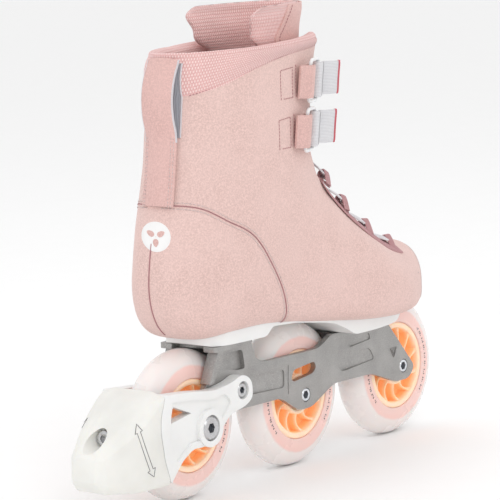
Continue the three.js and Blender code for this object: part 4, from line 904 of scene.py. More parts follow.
def brakePad():
    face, tang = brake["padFace"], brake["tang"]
    corners = [
        (face + 3.4, 25.6, 78.4), (face + 3.6, 15, 81.4), (-172, 10, 75.6), (-170, 22, 75.6),
        (face + 5.2, 25, 20.4), (face + 5.4, 26.5, 23), (face + 3.4, 26.5, 77), (-186, 12, 19.2),
        (-184, 22.5, 20.6), (-205, 12, 22.4), (-212.4, 9, 30.6), (-211, 9.6, 45.4), (-207, 14, 45),
        (-206, 15.4, 28), (-190, 21.5, 55.6), (-193, 12, 60), (-180, 25.2, 30), (-178, 25.6, 64)]
    mesh = bpy.data.meshes.new("brakeBlock")
    work = bmesh.new()
    for x, y, z in corners:
        for side in (-1, 1):
            work.verts.new(inPlace((x, y * side, z)))
    bmesh.ops.convex_hull(work, input=work.verts)
    bmesh.ops.delete(work, geom=[v for v in work.verts if not v.link_faces], context="VERTS")
    bmesh.ops.dissolve_limit(work, angle_limit=math.radians(4), verts=work.verts, edges=work.edges)
    bmesh.ops.recalc_face_normals(work, faces=work.faces)
    work.to_mesh(mesh)
    work.free()
    body = bpy.data.objects.new("brakeBlock", mesh)
    bpy.context.scene.collection.objects.link(body)
    roundEdges(body, brake["padRound"], 6, 4)
    front = [(-140, 90, 0), (face + 3.2, 90, 0), (face + 3.2, 79, 1), (face - 2, 66, 4), (face - 2.8, 56, 4),
             (face + 0.2, 36, 4), (face + 5, 21.6, 1), (face + 5, 10, 0), (-140, 10, 0)]
    wall = tang + fit
    slot = [(-150, 30, 0), (brake["bridgeBack"] - fit, 44, 0), (brake["bridgeBack"] - fit, 64, 0),
            (-170, 69.4, 0), (-150, 69.4, 0)]
    bore = []
    for radius, x0, x1, sides in ((7, -222, brake["padSeat"], 56), (3.3, -200, -178, 32)):
        ring = [(radius * math.cos(math.tau * k / sides),
                 brake["padScrew"] + radius * math.sin(math.tau * k / sides))
                for k in range(sides)]
        bore.append(skin([[(x0, a, b) for a, b in ring], [(x1, a, b) for a, b in ring]], ends="flat"))
    cuts = [sidePrism(front, -40, 40), sidePrism(slot, -wall, wall),
            rodY(chassis["well"], -chassis["wellHalf"], chassis["wellHalf"],
                 wheelX["rear"], axleZ, 72)] + bore
    carve(body, [rawSolid(c) for c in cuts])
    roundEdges(body, 0.5, 50, 2)
    dress(body, "padRubber", rest, ["brake_pad"])
    seat = brake["padSeat"] - fit
    rows = []
    for r, deep in ((5.4, 0), (5.4, 3.6), (4.6, 4.4), (3.4, 4.4), (2.7, 4.1), (2.6, 1.6)):
        six = deep in (4.1, 1.6)
        ring = []
        for k in range(48):
            a = math.tau * k / 48
            rr = r * 0.92 / math.cos((a % (math.pi / 3)) - math.pi / 6) if six else r
            ring.append((seat - deep, rr * math.cos(a), brake["padScrew"] + rr * math.sin(a)))
        rows.append(ring)
    shank = [[(x, 3 * math.cos(math.tau * k / 28), brake["padScrew"] + 3 * math.sin(math.tau * k / 28))
              for k in range(28)] for x in (seat + 1, brake["bridgeFront"] - 0.6)]
    makePiece("padScrewHead", joinParts([skin(rows, ends="flat"), skin(shank, ends="flat")]), "steel", rest,
              ["pad_screw"])
    # Outlined arrow along the face that wears.
    tree = surfaceTree(body)
    shape = [(0, -18.6), (3.6, -13.4), (1.5, -13.4), (1.5, 13.4), (3.6, 13.4), (0, 18.6), (-3.6, 13.4),
             (-1.5, 13.4), (-1.5, -13.4), (-3.6, -13.4)]
    lean = Vector((0.33, -1)).normalized()
    cross = Vector((lean.y, -lean.x))
    lean, cross = lean, cross * 0.85
    points = []
    for i, (a, b) in enumerate(shape):
        c, d = shape[(i + 1) % len(shape)]
        count = max(2, int(math.hypot(c - a, d - b) / 1.5))
        points += [cross * (a + (c - a) * k / count) + lean * (b + (d - b) * k / count) for k in range(count)]
    for name, side in (("Right", -1), ("Left", 1)):
        way = Vector((0.786, -0.618 * side, 0))
        middle, over = Vector((-179.3, 24 * side, 46.9)), Vector((0.618, 0.786 * side, 0))
        line = [onSurface(tree, middle + over * p.x * 0.8 + Vector((0, 0, p.y)) - way * 60, way, 0.02)
                for p in points]
        makePiece("wearArrow" + name, wire(line, 0.2, 6, closed=True), "ink")
    print("brake ready")


def surfaceTree(piece):
    bpy.context.view_layer.update()
    verts = [v.co.copy() for v in piece.data.vertices]
    return BVHTree.FromPolygons(verts, [tuple(p.vertices) for p in piece.data.polygons])


# Point where a line from outside meets the surface, stood off by lift; all in millimetres.
def onSurface(tree, start, way, lift=0.0, full=False):
    hit, normal, index, far = tree.ray_cast(inPlace(start), Vector(way).normalized())
    if hit is None:
        hit, normal, index, far = tree.find_nearest(inPlace(start))
    if normal.dot(Vector(way)) > 0:
        normal = -normal
    spot = Vector((hit.x * 1000 - zeroX, hit.y * 1000 - zeroY, hit.z * 1000 - zeroZ)) + normal * lift
    return (spot, normal) if full else spot


brakeArm()
brakePad()
axlePieces()


# Boot.

# Each row: back or bottom point, front or top point, half width, sideways shift,
# where it is widest, and how square its two halves are.
bootRows = [
    (149.0, 111.0, 149.6, 122.0, 6.5, 5.6, 0.45, 2.4, 2.2),
    (147.0, 104.0, 148.0, 129.0, 12.5, 5.6, 0.44, 2.8, 2.2),
    (142.0, 98.2, 143.2, 134.6, 20.0, 5.4, 0.42, 3.4, 2.2),
    (133.0, 94.0, 134.2, 138.2, 28.0, 4.8, 0.40, 4.0, 2.2),
    (120.0, 92.0, 121.0, 139.0, 36.0, 4.0, 0.38, 4.5, 2.2),
    (103.0, 91.6, 104.0, 141.2, 43.0, 2.8, 0.37, 4.8, 2.15),
    (84.0, 92.0, 87.0, 147.6, 47.0, 1.6, 0.36, 5.0, 2.1),
    (64.0, 93.2, 71.5, 157.0, 48.0, 0.8, 0.35, 5.0, 2.1),
    (42.0, 95.2, 57.5, 167.6, 47.0, 0.4, 0.34, 5.0, 2.1),
    (19.0, 98.0, 45.5, 178.6, 44.5, 0.0, 0.34, 5.0, 2.1),
    (-5.0, 100.6, 35.8, 189.4, 42.5, 0.0, 0.35, 4.8, 2.1),
    (-29.0, 103.6, 28.0, 199.6, 41.0, 0.0, 0.37, 4.6, 2.1),
    (-53.0, 105.8, 22.8, 209.0, 40.0, 0.0, 0.40, 4.4, 2.1),
    (-77.0, 106.2, 20.0, 218.0, 39.6, 0.0, 0.43, 4.1, 2.1),
    (-98.0, 105.6, 19.4, 226.6, 39.6, 0.0, 0.46, 3.8, 2.1),
    (-115.0, 106.6, 20.0, 234.6, 39.6, 0.0, 0.48, 3.5, 2.1),
    (-128.0, 112.6, 21.4, 242.2, 39.4, 0.0, 0.5, 3.1, 2.1),
    (-136.4, 124.4, 23.0, 249.4, 39.0, 0.0, 0.5, 2.8, 2.1),
    (-139.8, 141.4, 24.4, 256.4, 38.8, 0.0, 0.5, 2.5, 2.1),
    (-137.4, 163.0, 26.0, 263.6, 38.6, 0.0, 0.5, 2.35, 2.1),
    (-133.0, 187.0, 27.4, 270.6, 38.4, 0.0, 0.5, 2.2, 2.1),
    (-128.0, 213.0, 28.8, 277.2, 38.2, 0.0, 0.5, 2.1, 2.1),
    (-124.0, 240.0, 30.0, 283.4, 38.0, 0.0, 0.5, 2.1, 2.1),
    (-120.6, 267.0, 32.6, 289.4, 38.0, 0.0, 0.5, 2.1, 2.1),
    (-117.6, 289.0, 35.4, 293.0, 37.4, 0.0, 0.5, 2.1, 2.1),
    (-115.4, 294.6, 35.0, 296.0, 35.4, 0.0, 0.5, 2.1, 2.1)]
boot = {"upper": 2.2, "lining": 5.6, "rowStep": 0.2, "around": 96, "edgeRound": 0.7,
        "suedeEdge": [(-170, 262), (-130, 263.5), (-112, 267), (-92, 273), (-65, 281), (-40, 286),
                      (-15, 288.5), (12, 289.5), (60, 290)]}


def bootRow(at):
    low = min(int(at), len(bootRows) - 2)
    t = at - low
    rows = [bootRows[min(max(low + k, 0), len(bootRows) - 1)] for k in (-1, 0, 1, 2)]
    return [0.5 * (2 * b + (c - a) * t + (2 * a - 5 * b + 4 * c - d) * t * t
                   + (3 * b - a - 3 * c + d) * t ** 3)
            for a, b, c, d in zip(*rows)]


# Point on the boot at a fractional row and an angle from its front line, drawn in by inset.
def bootSpot(at, angle, inset, lift=0.0):
    ax, az, bx, bz, half, shift, widest, squareA, squareB = bootRow(at)
    tip = max(0.0, 1 - at / 5) * inset
    back, front = Vector((ax - tip, 0, az + lift)), Vector((bx - tip, 0, bz + lift))
    full = (front - back).length
    along = (front - back).normalized()
    cut = min(inset, full * 0.36)
    length = full - 2 * cut
    w = max(half - inset, half * 0.4)
    c, s = math.cos(angle), math.sin(angle)
    square = squareA if c < 0 else squareB
    reach = length * widest if c < 0 else length * (1 - widest)
    run = cut + length * widest + math.copysign(abs(c) ** (2 / square), c) * reach
    across = math.copysign(abs(s) ** (2 / square), s) * w
    return back + along * run + Vector((0, across + shift, 0))


def bootForm(inset, extra=0.0, around=None):
    around = around or boot["around"]
    last = len(bootRows) - 1
    stops = [i * boot["rowStep"] for i in range(int(last / boot["rowStep"]) + 1)]
    if inset < 1:
        tipRow = [bootSpot(0, math.tau * k / around, 0) for k in range(around)]
        middle = sum(tipRow, Vector()) / around
        rows = [[middle + (p - middle) * 0.45 + Vector((0.9 - inset, 0, 0)) for p in tipRow]]
    else:
        rows = []
    rows += [[bootSpot(t, math.tau * k / around, inset) for k in range(around)] for t in stops]
    if extra:
        rows.append([bootSpot(last, math.tau * k / around, inset, extra) for k in range(around)])
    return skin(rows, ends="flat")


def aboveSuede(rise):
    line = smoothPath([(x, z + rise) for x, z in boot["suedeEdge"]], 5)
    return sidePrism([(x, z, 0) for x, z in line] + [(60, 380, 0), (-170, 380, 0)], -90, 90)


def throat(grow):
    side = rawSolid(sidePrism([(116 + grow, 128, 0), (116 + grow, 170, 0), (75, 230, 0), (75, 340, 0),
                               (-16, 340, 0), (-16, 262, 0), (-10, 214, 0), (12, 178, 0), (60, 138, 0)],
                              -60, 60))
    plan = rawSolid(planPrism([(116 + grow, -9 - grow, 8), (60, -17 - grow, 12), (20, -20 - grow, 10),
                               (-20, -20 - grow, 0), (-20, 20 + grow, 0), (20, 20 + grow, 10),
                               (60, 17 + grow, 12), (116 + grow, 9 + grow, 8)], 100, 350, 8))
    return carve(side, [plan], "INTERSECT")


soleUnder = [(-121, 104.6), (-112, 103.4), (-104, 100.7), (-57, 100.7), (-50, 106.5), (-26, 105),
(-10, 102.6),
             (4, 100.4), (16, 98), (28, 92.5), (38, 86.9), (98, 86.9), (112, 91.5), (124, 95), (134, 99)]
soleTop = [(134, 106), (118, 104), (100, 104), (80, 104.6), (60, 105.6), (40, 107), (0, 110), (-40, 113),
           (-80, 114.2), (-121, 114.2)]
solePlan = [(-112, 8), (-106, 18), (-94, 25.5), (-62, 29), (-20, 31), (20, 33), (60, 35.5), (84, 33),
(100, 27),
            (114, 21), (126, 12)]


def soleSides(grow):
    left, right = [], []
    for i, (x, y) in enumerate(solePlan):
        xx = x - (grow if i == 0 else 0) + (grow if i > 8 else 0)
        left.append((xx, y + grow + x * 0.012, 6))
        right.append((xx, -y - grow + x * 0.012, 6))
    return rawSolid(planPrism(left + right[::-1], 60, 150, 5))


def soleForm(grow):
    ring = [(x, z - grow, 3) for x, z in soleUnder] + [(x, z + grow, 1.5) for x, z in soleTop]
    return carve(rawSolid(sidePrism(ring, -60, 60, 4), "soleBlank"), [soleSides(grow)], "INTERSECT")


# The upper stops at the sole's edge, so nothing hangs loose under the sole.
def underSole():
    side = rawSolid(sidePrism([(-130, 70, 0), (134, 70, 0), (134, 103, 0), (-130, 111, 0)], -70, 70))
    return carve(side, [soleSides(fit)], "INTERSECT")


def soleBase():
    body = soleForm(0)
    carve(body, wheelWells(chassis["wellHalf"]))
    hollows = [planPrism([(40, -26, 4), (58, -27, 4), (58, -8, 4), (40, -8, 4)], 80, 99),
               planPrism([(40, 8, 4), (58, 8, 4), (58, 27, 4), (40, 26, 4)], 80, 99)]
    hollows += [rodZ(3.3, 80, 110 if x < 0 else 100, x, y) for x, y in chassis["bolts"]]
    carve(body, [rawSolid(h) for h in hollows])
    roundEdges(body, 1.1, 34, 3)
    body.name = "soleShell"
    dress(body, "shell", rest, ["sole_base"])


# Faint softness of stuffed suede: slow swells and a few creases where the ankle bends.
def softenBoot(piece, amount):
    for v in piece.data.vertices:
        p = v.co * 1000
        swell = noise.noise(p * 0.022) * amount + noise.noise(p * 0.07) * amount * 0.35
        ankle = math.exp(-((p.z - 205) / 26) ** 2) * max(0.0, min(1.0, (p.x - zeroX + 30) / 50))
        crease = math.sin((p.z + 0.35 * (p.x - zeroX)) * 0.42 + 2 * noise.noise(p * 0.03))
        crease *= ankle * amount * 0.8
        centre = Vector((p.x, zeroY, p.z))
        out = (p - centre)
        out = out.normalized() if out.length > 1 else Vector()
        v.co = (p + out * (swell + crease - amount * 0.5)) / 1000


def footbedPiece():
    top = [(x, z) for x, z in soleTop if -118 < x < 130]
    ring = [(x, z + 0.6, 1) for x, z in top] + [(x, z + 4.4, 1) for x, z in top[::-1]]
    bed = rawSolid(sidePrism(ring, -60, 60, 4), "insole")
    carve(bed, [rawSolid(bootForm(boot["upper"] + boot["lining"] + 1))], "INTERSECT")
    carve(bed, [throat(4)])
    roundEdges(bed, 1.1, 40, 3)
    dress(bed, "foam", rest, ["footbed"])


def bootPieces():
    outer = rawSolid(bootForm(0.0), "suedeUpper")
    softenBoot(outer, 0.7)
    tree = surfaceTree(outer)
    inner = rawSolid(bootForm(boot["upper"], 20))
    cuts = [inner, rawSolid(aboveSuede(0)), throat(0), soleForm(fit), underSole()]
    carve(outer, cuts)
    carve(outer, wheelWells(chassis["wellHalf"]))
    roundEdges(outer, boot["edgeRound"], 48, 2)
    dress(outer, "suede", rest, ["boot_upper"])
    print("upper ready")
    lining = rawSolid(bootForm(boot["upper"] + fit), "innerBoot")
    cuts = [rawSolid(bootForm(boot["upper"] + boot["lining"], 20)), rawSolid(aboveSuede(-3)),
            throat(2), soleForm(fit)]
    carve(lining, cuts)
    carve(lining, wheelWells(chassis["wellHalf"]))
    boxSurface(lining)
    dress(lining, "lining", rest, ["boot_liner"])
    footbedPiece()
    print("lining ready")
    return tree


# Surface coordinates in millimetres for a cut form: run round the leg, and height.
def boxSurface(piece):
    mesh = piece.data
    for old in list(mesh.uv_layers):
        mesh.uv_layers.remove(old)
    layer = mesh.uv_layers.new(name="cloth")
    for poly in mesh.polygons:
        n = poly.normal
        for loop in poly.loop_indices:
            p = mesh.vertices[mesh.loops[loop].vertex_index].co * 1000
            if abs(n.y) > abs(n.x):
                layer.data[loop].uv = (p.x, p.z)
            else:
                layer.data[loop].uv = (p.y, p.z)


# Height of the suede's upper edge at x.
def suedeLine(x):
    line = boot["suedeEdge"]
    for (x0, z0), (x1, z1) in zip(line, line[1:]):
        if x0 <= x <= x1:
            return z0 + (z1 - z0) * (x - x0) / (x1 - x0)
    return line[-1][1]


def rowAtEdge(angle, rise):
    low, high = 17.0, 25.0
    for k in range(26):
        middle = (low + high) / 2
        spot = bootSpot(middle, angle, 0)
        if spot.z < suedeLine(spot.x) + rise:
            low = middle
        else:
            high = middle
    return low


collar = {"open": 0.6, "bulge": 1.5, "thick": 8.6, "roll": 3.8, "columns": 110, "depth": 2.6, "top": 24.05}


def collarPiece():
    rows = []
    for i in range(collar["columns"] + 1):
        angle = collar["open"] + (math.tau - 2 * collar["open"]) * i / collar["columns"]
        start = rowAtEdge(angle, -2.6)
        top = collar["top"]
        end = math.sin(math.pi * i / collar["columns"])
        puff = collar["bulge"] * min(1, end * 5)
        thick = collar["thick"]
        ring = []
        for k in range(15):
            t = start + (top - start) * k / 14
            share = k / 14
            out = 0.9 - (0.9 + puff) * math.sin(math.pi * min(1, share * 1.05)) ** 0.7 if k else 1.6
            ring.append(bootSpot(t, angle, out))
        base = 0.9 - (0.9 + puff) * math.sin(math.pi * 0.98) ** 0.7
        for k in range(1, 10):
            turn = math.pi * k / 10
            middle, half = (base + thick) / 2, (thick - base) / 2
            ring.append(bootSpot(top, angle, middle - half * math.cos(turn), collar["roll"] * math.sin(turn)))
        for k in range(13):
            t = top - (top - start + collar["depth"]) * k / 12
            share = k / 12
            ring.append(bootSpot(t, angle, thick + 1.4 * math.sin(math.pi * share) - (2.4 if k == 12 else 0)))
        rows.append(ring)
    verts, faces, marks = skin(rows, ends="flat")
    upright = [[(v, u) for u, v in face] for face in marks]
    piece = makePiece("paddedCollar", (verts, faces, upright), "knit", rest, [], 60)
    count = len(rows[0])
    loose = lambda i: 0 < i // count < len(rows) - 1 and 3 < i % count < 34
    return plump(piece, {i for i in range(len(piece.data.vertices)) if loose(i)}, 1.8)


# Stuffing: the loose points swell under air pressure, held by the pinned ones and by a cap in millimetres.
def plump(piece, loose, cap):
    mesh = piece.data
    before = [v.co.copy() for v in mesh.vertices]
    pins = piece.vertex_groups.new(name="sewn")
    pins.add([i for i in range(len(before)) if i not in loose], 1.0, "REPLACE")
    cloth = piece.modifiers.new("stuffing", "CLOTH")
    cloth.settings.vertex_group_mass = "sewn"
    cloth.settings.quality = 6
    cloth.settings.mass = 0.2
    cloth.settings.use_pressure = True
    cloth.settings.uniform_pressure_force = 4
    cloth.settings.effector_weights.gravity = 0
    scene = bpy.context.scene
    for step in range(1, 21):
        scene.frame_set(step)
    graph = bpy.context.evaluated_depsgraph_get()
    after = [v.co.copy() for v in piece.evaluated_get(graph).data.vertices]
    piece.modifiers.clear()
    scene.frame_set(1)
    piece.vertex_groups.clear()
    moved = 0.0
    for v, a, b in zip(mesh.vertices, before, after):
        push = b - a
        far = push.length * 1000
        moved = max(moved, far)
        v.co = a + push * (min(1, cap / far) if far > 0 else 0)
    mesh.update()
    print(piece.name, "swelled up to", round(min(moved, cap), 2), "mm, before the cap", round(moved, 2))
    smooth = piece.modifiers.new("finer", "SUBSURF")
    smooth.levels = smooth.render_levels = 1
    return piece


# Tongue: a curved leaf from the toes past the collar, (x, z, wrap angle, wide, deep), where the
# last two are the half axes of the oval it wraps round the leg. The facing covers it to the share given.
tonguePath = [
    (104, 133.4, 0.3, 44, 44, 0.9), (90, 137.3, 0.47, 38, 38, 0.9), (73, 145, 0.62, 34, 34, 0.9),
    (57, 155.6, 0.74, 31, 31, 0.9), (43, 167, 0.86, 28, 28, 0.9), (30.5, 178.5, 0.96, 26, 26, 0.9),
    (19.5, 191, 1.04, 24, 24, 0.9), (11.6, 204.5, 1.14, 22, 22, 0.9), (9, 219, 1.19, 21, 21, 0.9),
    (10.2, 234, 1.19, 21, 21, 0.9), (12.6, 250, 1.2, 22, 24, 0.9), (15, 266, 1.25, 24, 32, 0.9),
    (18, 281, 1.5, 25.6, 48, 0.88), (20.6, 294, 1.74, 26, 61, 0.8), (22, 303, 1.78, 26.4, 63, 0.72),
    (22.8, 312, 1.8, 30, 65, 0.68), (22.6, 318, 1.62, 30.5, 65, 0.7)]
tongueSet = {"thick": 7, "across": 33, "steps": 5, "facing": 0.55}


# Point of the tongue on path step i, at share u of its width, and so deep in it.
def tongueSpot(path, i, u, depth):
    x, z, wrap, wide, deep, share = path[i]
    a, b = path[max(i - 1, 0)], path[min(i + 1, len(path) - 1)]
    along = Vector((b[0] - a[0], 0, b[1] - a[1])).normalized()
    blend = min(1, max(0, (z - 250) / 16))
    inward = (Vector((-along.z, 0, along.x)) * (1 - blend) + Vector((-1, 0, 0)) * blend).normalized()
    cut = depth * (1 - 0.45 * abs(u) ** 6)
    return (Vector((x, (wide - cut) * math.sin(wrap * u), z))
            + inward * (deep - (deep - cut) * math.cos(wrap * u)))


def tonguePiece():
    path = smoothPath(tonguePath, tongueSet["steps"])
    count, across, thick = len(path), tongueSet["across"], tongueSet["thick"]
    widths = [2 * k / (across - 1) - 1 for k in range(across)]
    rows = []
    for i in range(count):
        taper = min(1, math.sqrt((count - 1 - i) / 4) + 0.12, i / 3 + 0.35)
        face = [tongueSpot(path, i, u, thick * 0.5 * (1 - taper) + 0.3) for u in widths]
        back = [tongueSpot(path, i, u, thick * 0.5 * (1 + taper)) for u in widths]
        rows.append(face + back[::-1])
    piece = makePiece("paddedTongue", skin(rows, ends="leaf", gauge=0.93), "knit", "tongue_leaf",
                      ["tongue"], 75)
    loose = set()
    for i, step in enumerate(path[:-1]):
        if step[1] > 268:
            for k in range(2 * across):
                u = abs(widths[k]) if k < across else 0
                if k >= across or u > step[5]:
                    loose.add(i * 2 * across + k)
    plump(piece, loose, 2.2)
    cover, edges = [], {-1: [], 1: []}
    for i in range(2, count - 1):
        share = path[i][5]
        spread = [share * (2 * k / 24 - 1) for k in range(25)]
        lift = -0.25 - tongueSet["facing"]
        cover.append([tongueSpot(path, i, u, lift) for u in spread]
                     + [tongueSpot(path, i, u, 0.35) for u in spread[::-1]])
        if path[i][1] > 289:
            for side in edges:
                edges[side].append((tongueSpot(path, i, side * (share - 0.045), lift - 0.1),
                                    tongueSpot(path, i, side * (share - 0.045), lift - 1)))
    makePiece("tongueFacing", skin(cover, ends="leaf"), "suedeTrim", "tongue_leaf", [], 60)
    parts = []
    for side in edges:
        parts += stitchRow([(p, (q - p).normalized()) for p, q in edges[side]], 2.4, 1.5, 0.28)
    makePiece("tongueStitches", joinParts(parts), "roseThread", "tongue_leaf")
    return piece


# Short stitches along points with their outward directions.
def stitchRow(line, gap, long, thick):
    spots = [p for p, n in line]
    run, parts, d = lengths(spots), [], 0.4
    while d < run[-1]:
        i = min(max(k for k in range(len(run)) if run[k] <= d), len(spots) - 2)
        along = (spots[i + 1] - spots[i]).normalized()
        t = (d - run[i]) / max(run[i + 1] - run[i], 1e-6)
        centre, n = spots[i] + (spots[i + 1] - spots[i]) * t, line[i][1]
        parts.append(wire([centre - along * long / 2 - n * 0.25, centre - along * long / 4 + n * 0.1,
                           centre + along * long / 4 + n * 0.1, centre + along * long / 2 - n * 0.25],
                          thick, 6))
        d += gap
    return parts


bootTree = bootPieces()
soleBase()
collarSkin = collarPiece()
tonguePiece()
print("boot ready")


# Straps on the cuff.

straps = {"upper": {"z": 266.5, "buckle": -0.98}, "lower": {"z": 234, "buckle": -0.98}}
strapSet = {"width": 24, "thick": 2, "barReach": 8, "barOut": 4.8, "barTurn": 2.8, "wire": 1.25}


# Place on the cuff at height z and an angle from its front, standing out from the surface.
def cuffSpot(z, angle, out):
    backLean, frontLean = 0.125, 0.19
    back = -117.6 - (295 - z) * backLean
    front = 31.8 - (295 - z) * frontLean
    reach = (front - back) / 2

    def spot(turn):
        c, s = math.cos(turn), math.sin(turn)
        return Vector(((front + back) / 2 + reach * math.copysign(abs(c) ** (2 / 2.1), c),
                       38.2 * math.copysign(abs(s) ** (2 / 2.1), s), z))

    run = (spot(angle + 0.04) - spot(angle - 0.04)).normalized()
    lean = -frontLean * math.cos(angle) if abs(angle) < 1.57 else backLean * math.cos(angle)
    up = Vector((run.y, -run.x, lean)).normalized()
    return spot(angle) + up * out, up


def buckleFrame(strap):
    at, up = cuffSpot(strap["z"], strap["buckle"], 0)
    forward = Vector((-up.y, up.x, 0)).normalized()
    high = (Vector((0, 0, 1)) - up * up.z).normalized()
    return {"at": at, "up": up, "forward": forward, "high": high,
            "place": lambda along, out, height=0.0: at + forward * along + up * out + high * height}


def ribbonRoute(buckle, steps):
    return [(buckle["place"](along, out), buckle["up"] * math.cos(turn) + buckle["forward"] * math.sin(turn))
            for along, out, turn in steps]


def roundBar(centre, direction):
    steps = []
    for k in range(13):
        a = -math.pi / 2 + math.pi * k / 12
        turn = direction * (math.pi / 2 + a)
        steps.append((centre + direction * strapSet["barTurn"] * math.cos(a),
                      strapSet["barOut"] + strapSet["barTurn"] * math.sin(a), math.pi - turn))
    return steps


def strapPieces(name, strap):
    buckle = buckleFrame(strap)
    width, reach, out = strapSet["width"], strapSet["barReach"], strapSet["barOut"]
    turn = strapSet["barTurn"]
    # Moulded ring: a rounded rectangle of round wire.
    long, tall = reach, width / 2 + 0.8 + 1.2
    corners = [(-long, -tall, 3.6), (long, -tall, 3.6), (long, tall, 3.6), (-long, tall, 3.6)]
    path = [buckle["place"](a, out, b) for a, b in cornerOutline(corners, 8)]
    makePiece("buckleRing_" + name, wire(path, strapSet["wire"], 12, closed=True), "ringPlastic", rest,
              ["strap_ring_" + name])
    tab = ribbonRoute(buckle, [(-15, 2, math.pi)] + roundBar(-reach, 1) + [
        (-12, 6.9, -0.3), (-14.8, 4.6, -0.65), (-17.4, 2.3, -0.35), (-19.6, 1.5, 0)])
    makePiece("buckleTab_" + name, ribbon(tab, width - 2, 1.5, 10), "suedeTrim", rest,
              ["strap_tab_" + name], 60)
    route = []
    first, last = 1.36, strap["buckle"] + 0.2
    for k in range(61):
        angle = first + (last - first) * k / 60
        route.append(cuffSpot(strap["z"], angle, 2.2))
    back = [(p, -up) for p, up in ribbonRoute(buckle, roundBar(reach, -1) + [(reach + 0.9, out + turn, 0)])]
    makePiece("cuffStrap_" + name, ribbon(route + back, width, 1.8, 12, 0.15), "webbing", rest,
              ["strap_band_" + name], 60)
    root, high = reach + 2.5, out + turn
    flap = smoothRoute(ribbonRoute(buckle, [
        (root, high, 0), (root + 2.8, high - 0.5, 0.25), (root + 6, high - 2.2, 0.35),
        (root + 8.4, high - 1.6, -0.6),
        (root + 12, high + 1.3, -0.55), (root + 17, high + 3.4, -0.3), (root + 22, high + 4.6, -0.15)]), 4)
    cut = len(flap) - 3
    body = "flap_" + name
    makePiece("strapFlap_" + name,
              ribbon(flap[:cut + 1], width - 1.6, strapSet["thick"], 12, -0.35), "webbing", body,
              ["strap_flap_" + name], 60)
    makePiece("flapEdge_" + name,
              ribbon(flap[cut:], width - 1.3, strapSet["thick"] + 0.35, 12, -0.35), "pinkEdge",
              body, [], 60)
    outs = [4.3, 4.3, 4.2, 3.4, 2, 1.2, 1.1, 1.1]
    anchor = smoothRoute([cuffSpot(strap["z"], 1.2 + k * 0.072, o) for k, o in enumerate(outs)], 3)
    makePiece("strapAnchor_" + name, ribbon(anchor, width + 4, 1.4, 12), "suedeTrim", rest,
              ["strap_anchor_" + name], 60)


for name, strap in straps.items():
    strapPieces(name, strap)
print("straps ready")


# Lacing.

lacing = {"rows": [5.3, 7.2, 9.1, 11], "angle": 0.42, "wide": 6, "thick": 1.2, "turn": 3, "out": 4.3}


def outward(at, angle):
    return (bootSpot(at, angle, -3) - bootSpot(at, angle, 1)).normalized()


def laceLoops(side):
    facing = []
    for k in range(28):
        at = 4.7 + k * 7 / 27
        facing.append((bootSpot(at, side * 0.62, -0.7), outward(at, side * 0.62)))
    parts = [ribbon(facing, 8, 1.1, 8)]
    for at in lacing["rows"]:
        up = outward(at, side * lacing["angle"])
        here = bootSpot(at, side * lacing["angle"], 0)
        across = bootSpot(at, side * (lacing["angle"] + 0.1), 0) - here
        across = (across - up * across.dot(up)).normalized()
        place = lambda away, out: here + across * away + up * out
        route = [(place(9, -0.3), up), (place(4, 1.0), up)]
        for k in range(9):
            a = -math.pi / 2 - math.pi * k / 8
            way = across * math.cos(a) + up * math.sin(a)
            route.append((place(lacing["turn"] * math.cos(a), lacing["out"] + lacing["turn"] * math.sin(a)),
                          -way))
        route += [(place(4, 4.8), -up), (place(9, 0.7), -up)]
        parts.append(ribbon(smoothRoute(route, 2), 6, 0.9, 8))
    name = "left" if side > 0 else "right"
    makePiece("loopTape_" + name, joinParts(parts), "loop", rest, ["lace_loops_" + name], 60)


def laceRoute():
    def half(start):
        steps = []
        rows = lacing["rows"]
        for i, at in enumerate(rows):
            side = start * (1 if i % 2 == 0 else -1)
            for shift in (-0.27, 0, 0.27):
                up = outward(at + shift, side * lacing["angle"])
                steps.append((bootSpot(at + shift, side * lacing["angle"], 0) + up * lacing["out"], up))
            if i + 1 == len(rows):
                for k, shift in enumerate((0.62, 1, 1.4)):
                    angle = side * (lacing["angle"] - 0.16 * (k + 1))
                    up = outward(at + shift, angle)
                    steps.append((bootSpot(at + shift, angle, 0) + up * (3 - k * 0.8), up))
                continue
            for part in (0.26, 0.5, 0.74):
                r = at + 0.27 + (rows[i + 1] - at - 0.54) * part
                angle = side * lacing["angle"] * (1 - 2 * part)
                rise = 2.6 + start * 1.3 if part == 0.5 else 3.2 + start * 0.6
                steps.append((bootSpot(r, angle, 0) + outward(r, angle) * rise, outward(r, angle)))
        return steps

    start = lacing["rows"][0] - 0.3
    cross = []
    for part in (-0.55, 0, 0.55):
        angle = part * lacing["angle"]
        cross.append((bootSpot(start - 0.25, angle, 0) + outward(start, angle) * 3, outward(start, angle)))
    return half(-1)[::-1] + cross + half(1)


laceLoops(1)
laceLoops(-1)
laceLine = smoothRoute(laceRoute(), 4)
makePiece("flatLace", ribbon(laceLine, lacing["wide"], lacing["thick"], 8, 0.35), "lace", rest, ["lace"], 60)
print("lacing ready, lace", round(lengths([p for p, up in laceLine])[-1]), "mm in the boot")


# Heel pull, piping and air mesh.

pull = {"width": 25, "thick": 1.6, "aside": -2.5, "steps": [
    (196, 1.5, 2.6), (206, 1.5, 2.6), (218, 1.5, 2.6), (230, 1.5, 2.6), (238, 1.8, 2.6), (244, 2.8, 2.2),
    (252, 4.8, 1.5), (262, 6, 1), (272, 5.8, 1), (281, 4.4, 1.6), (286, 3.2, 2.4), (290, 2.4, 2.6)]}


def backX(z):
    for (x0, z0), (x1, z1) in zip([r[:2] for r in bootRows[17:]], [r[:2] for r in bootRows[18:]]):
        if z0 <= z <= z1:
            return x0 + (x1 - x0) * (z - z0) / (z1 - z0)
    return bootRows[-1][0]


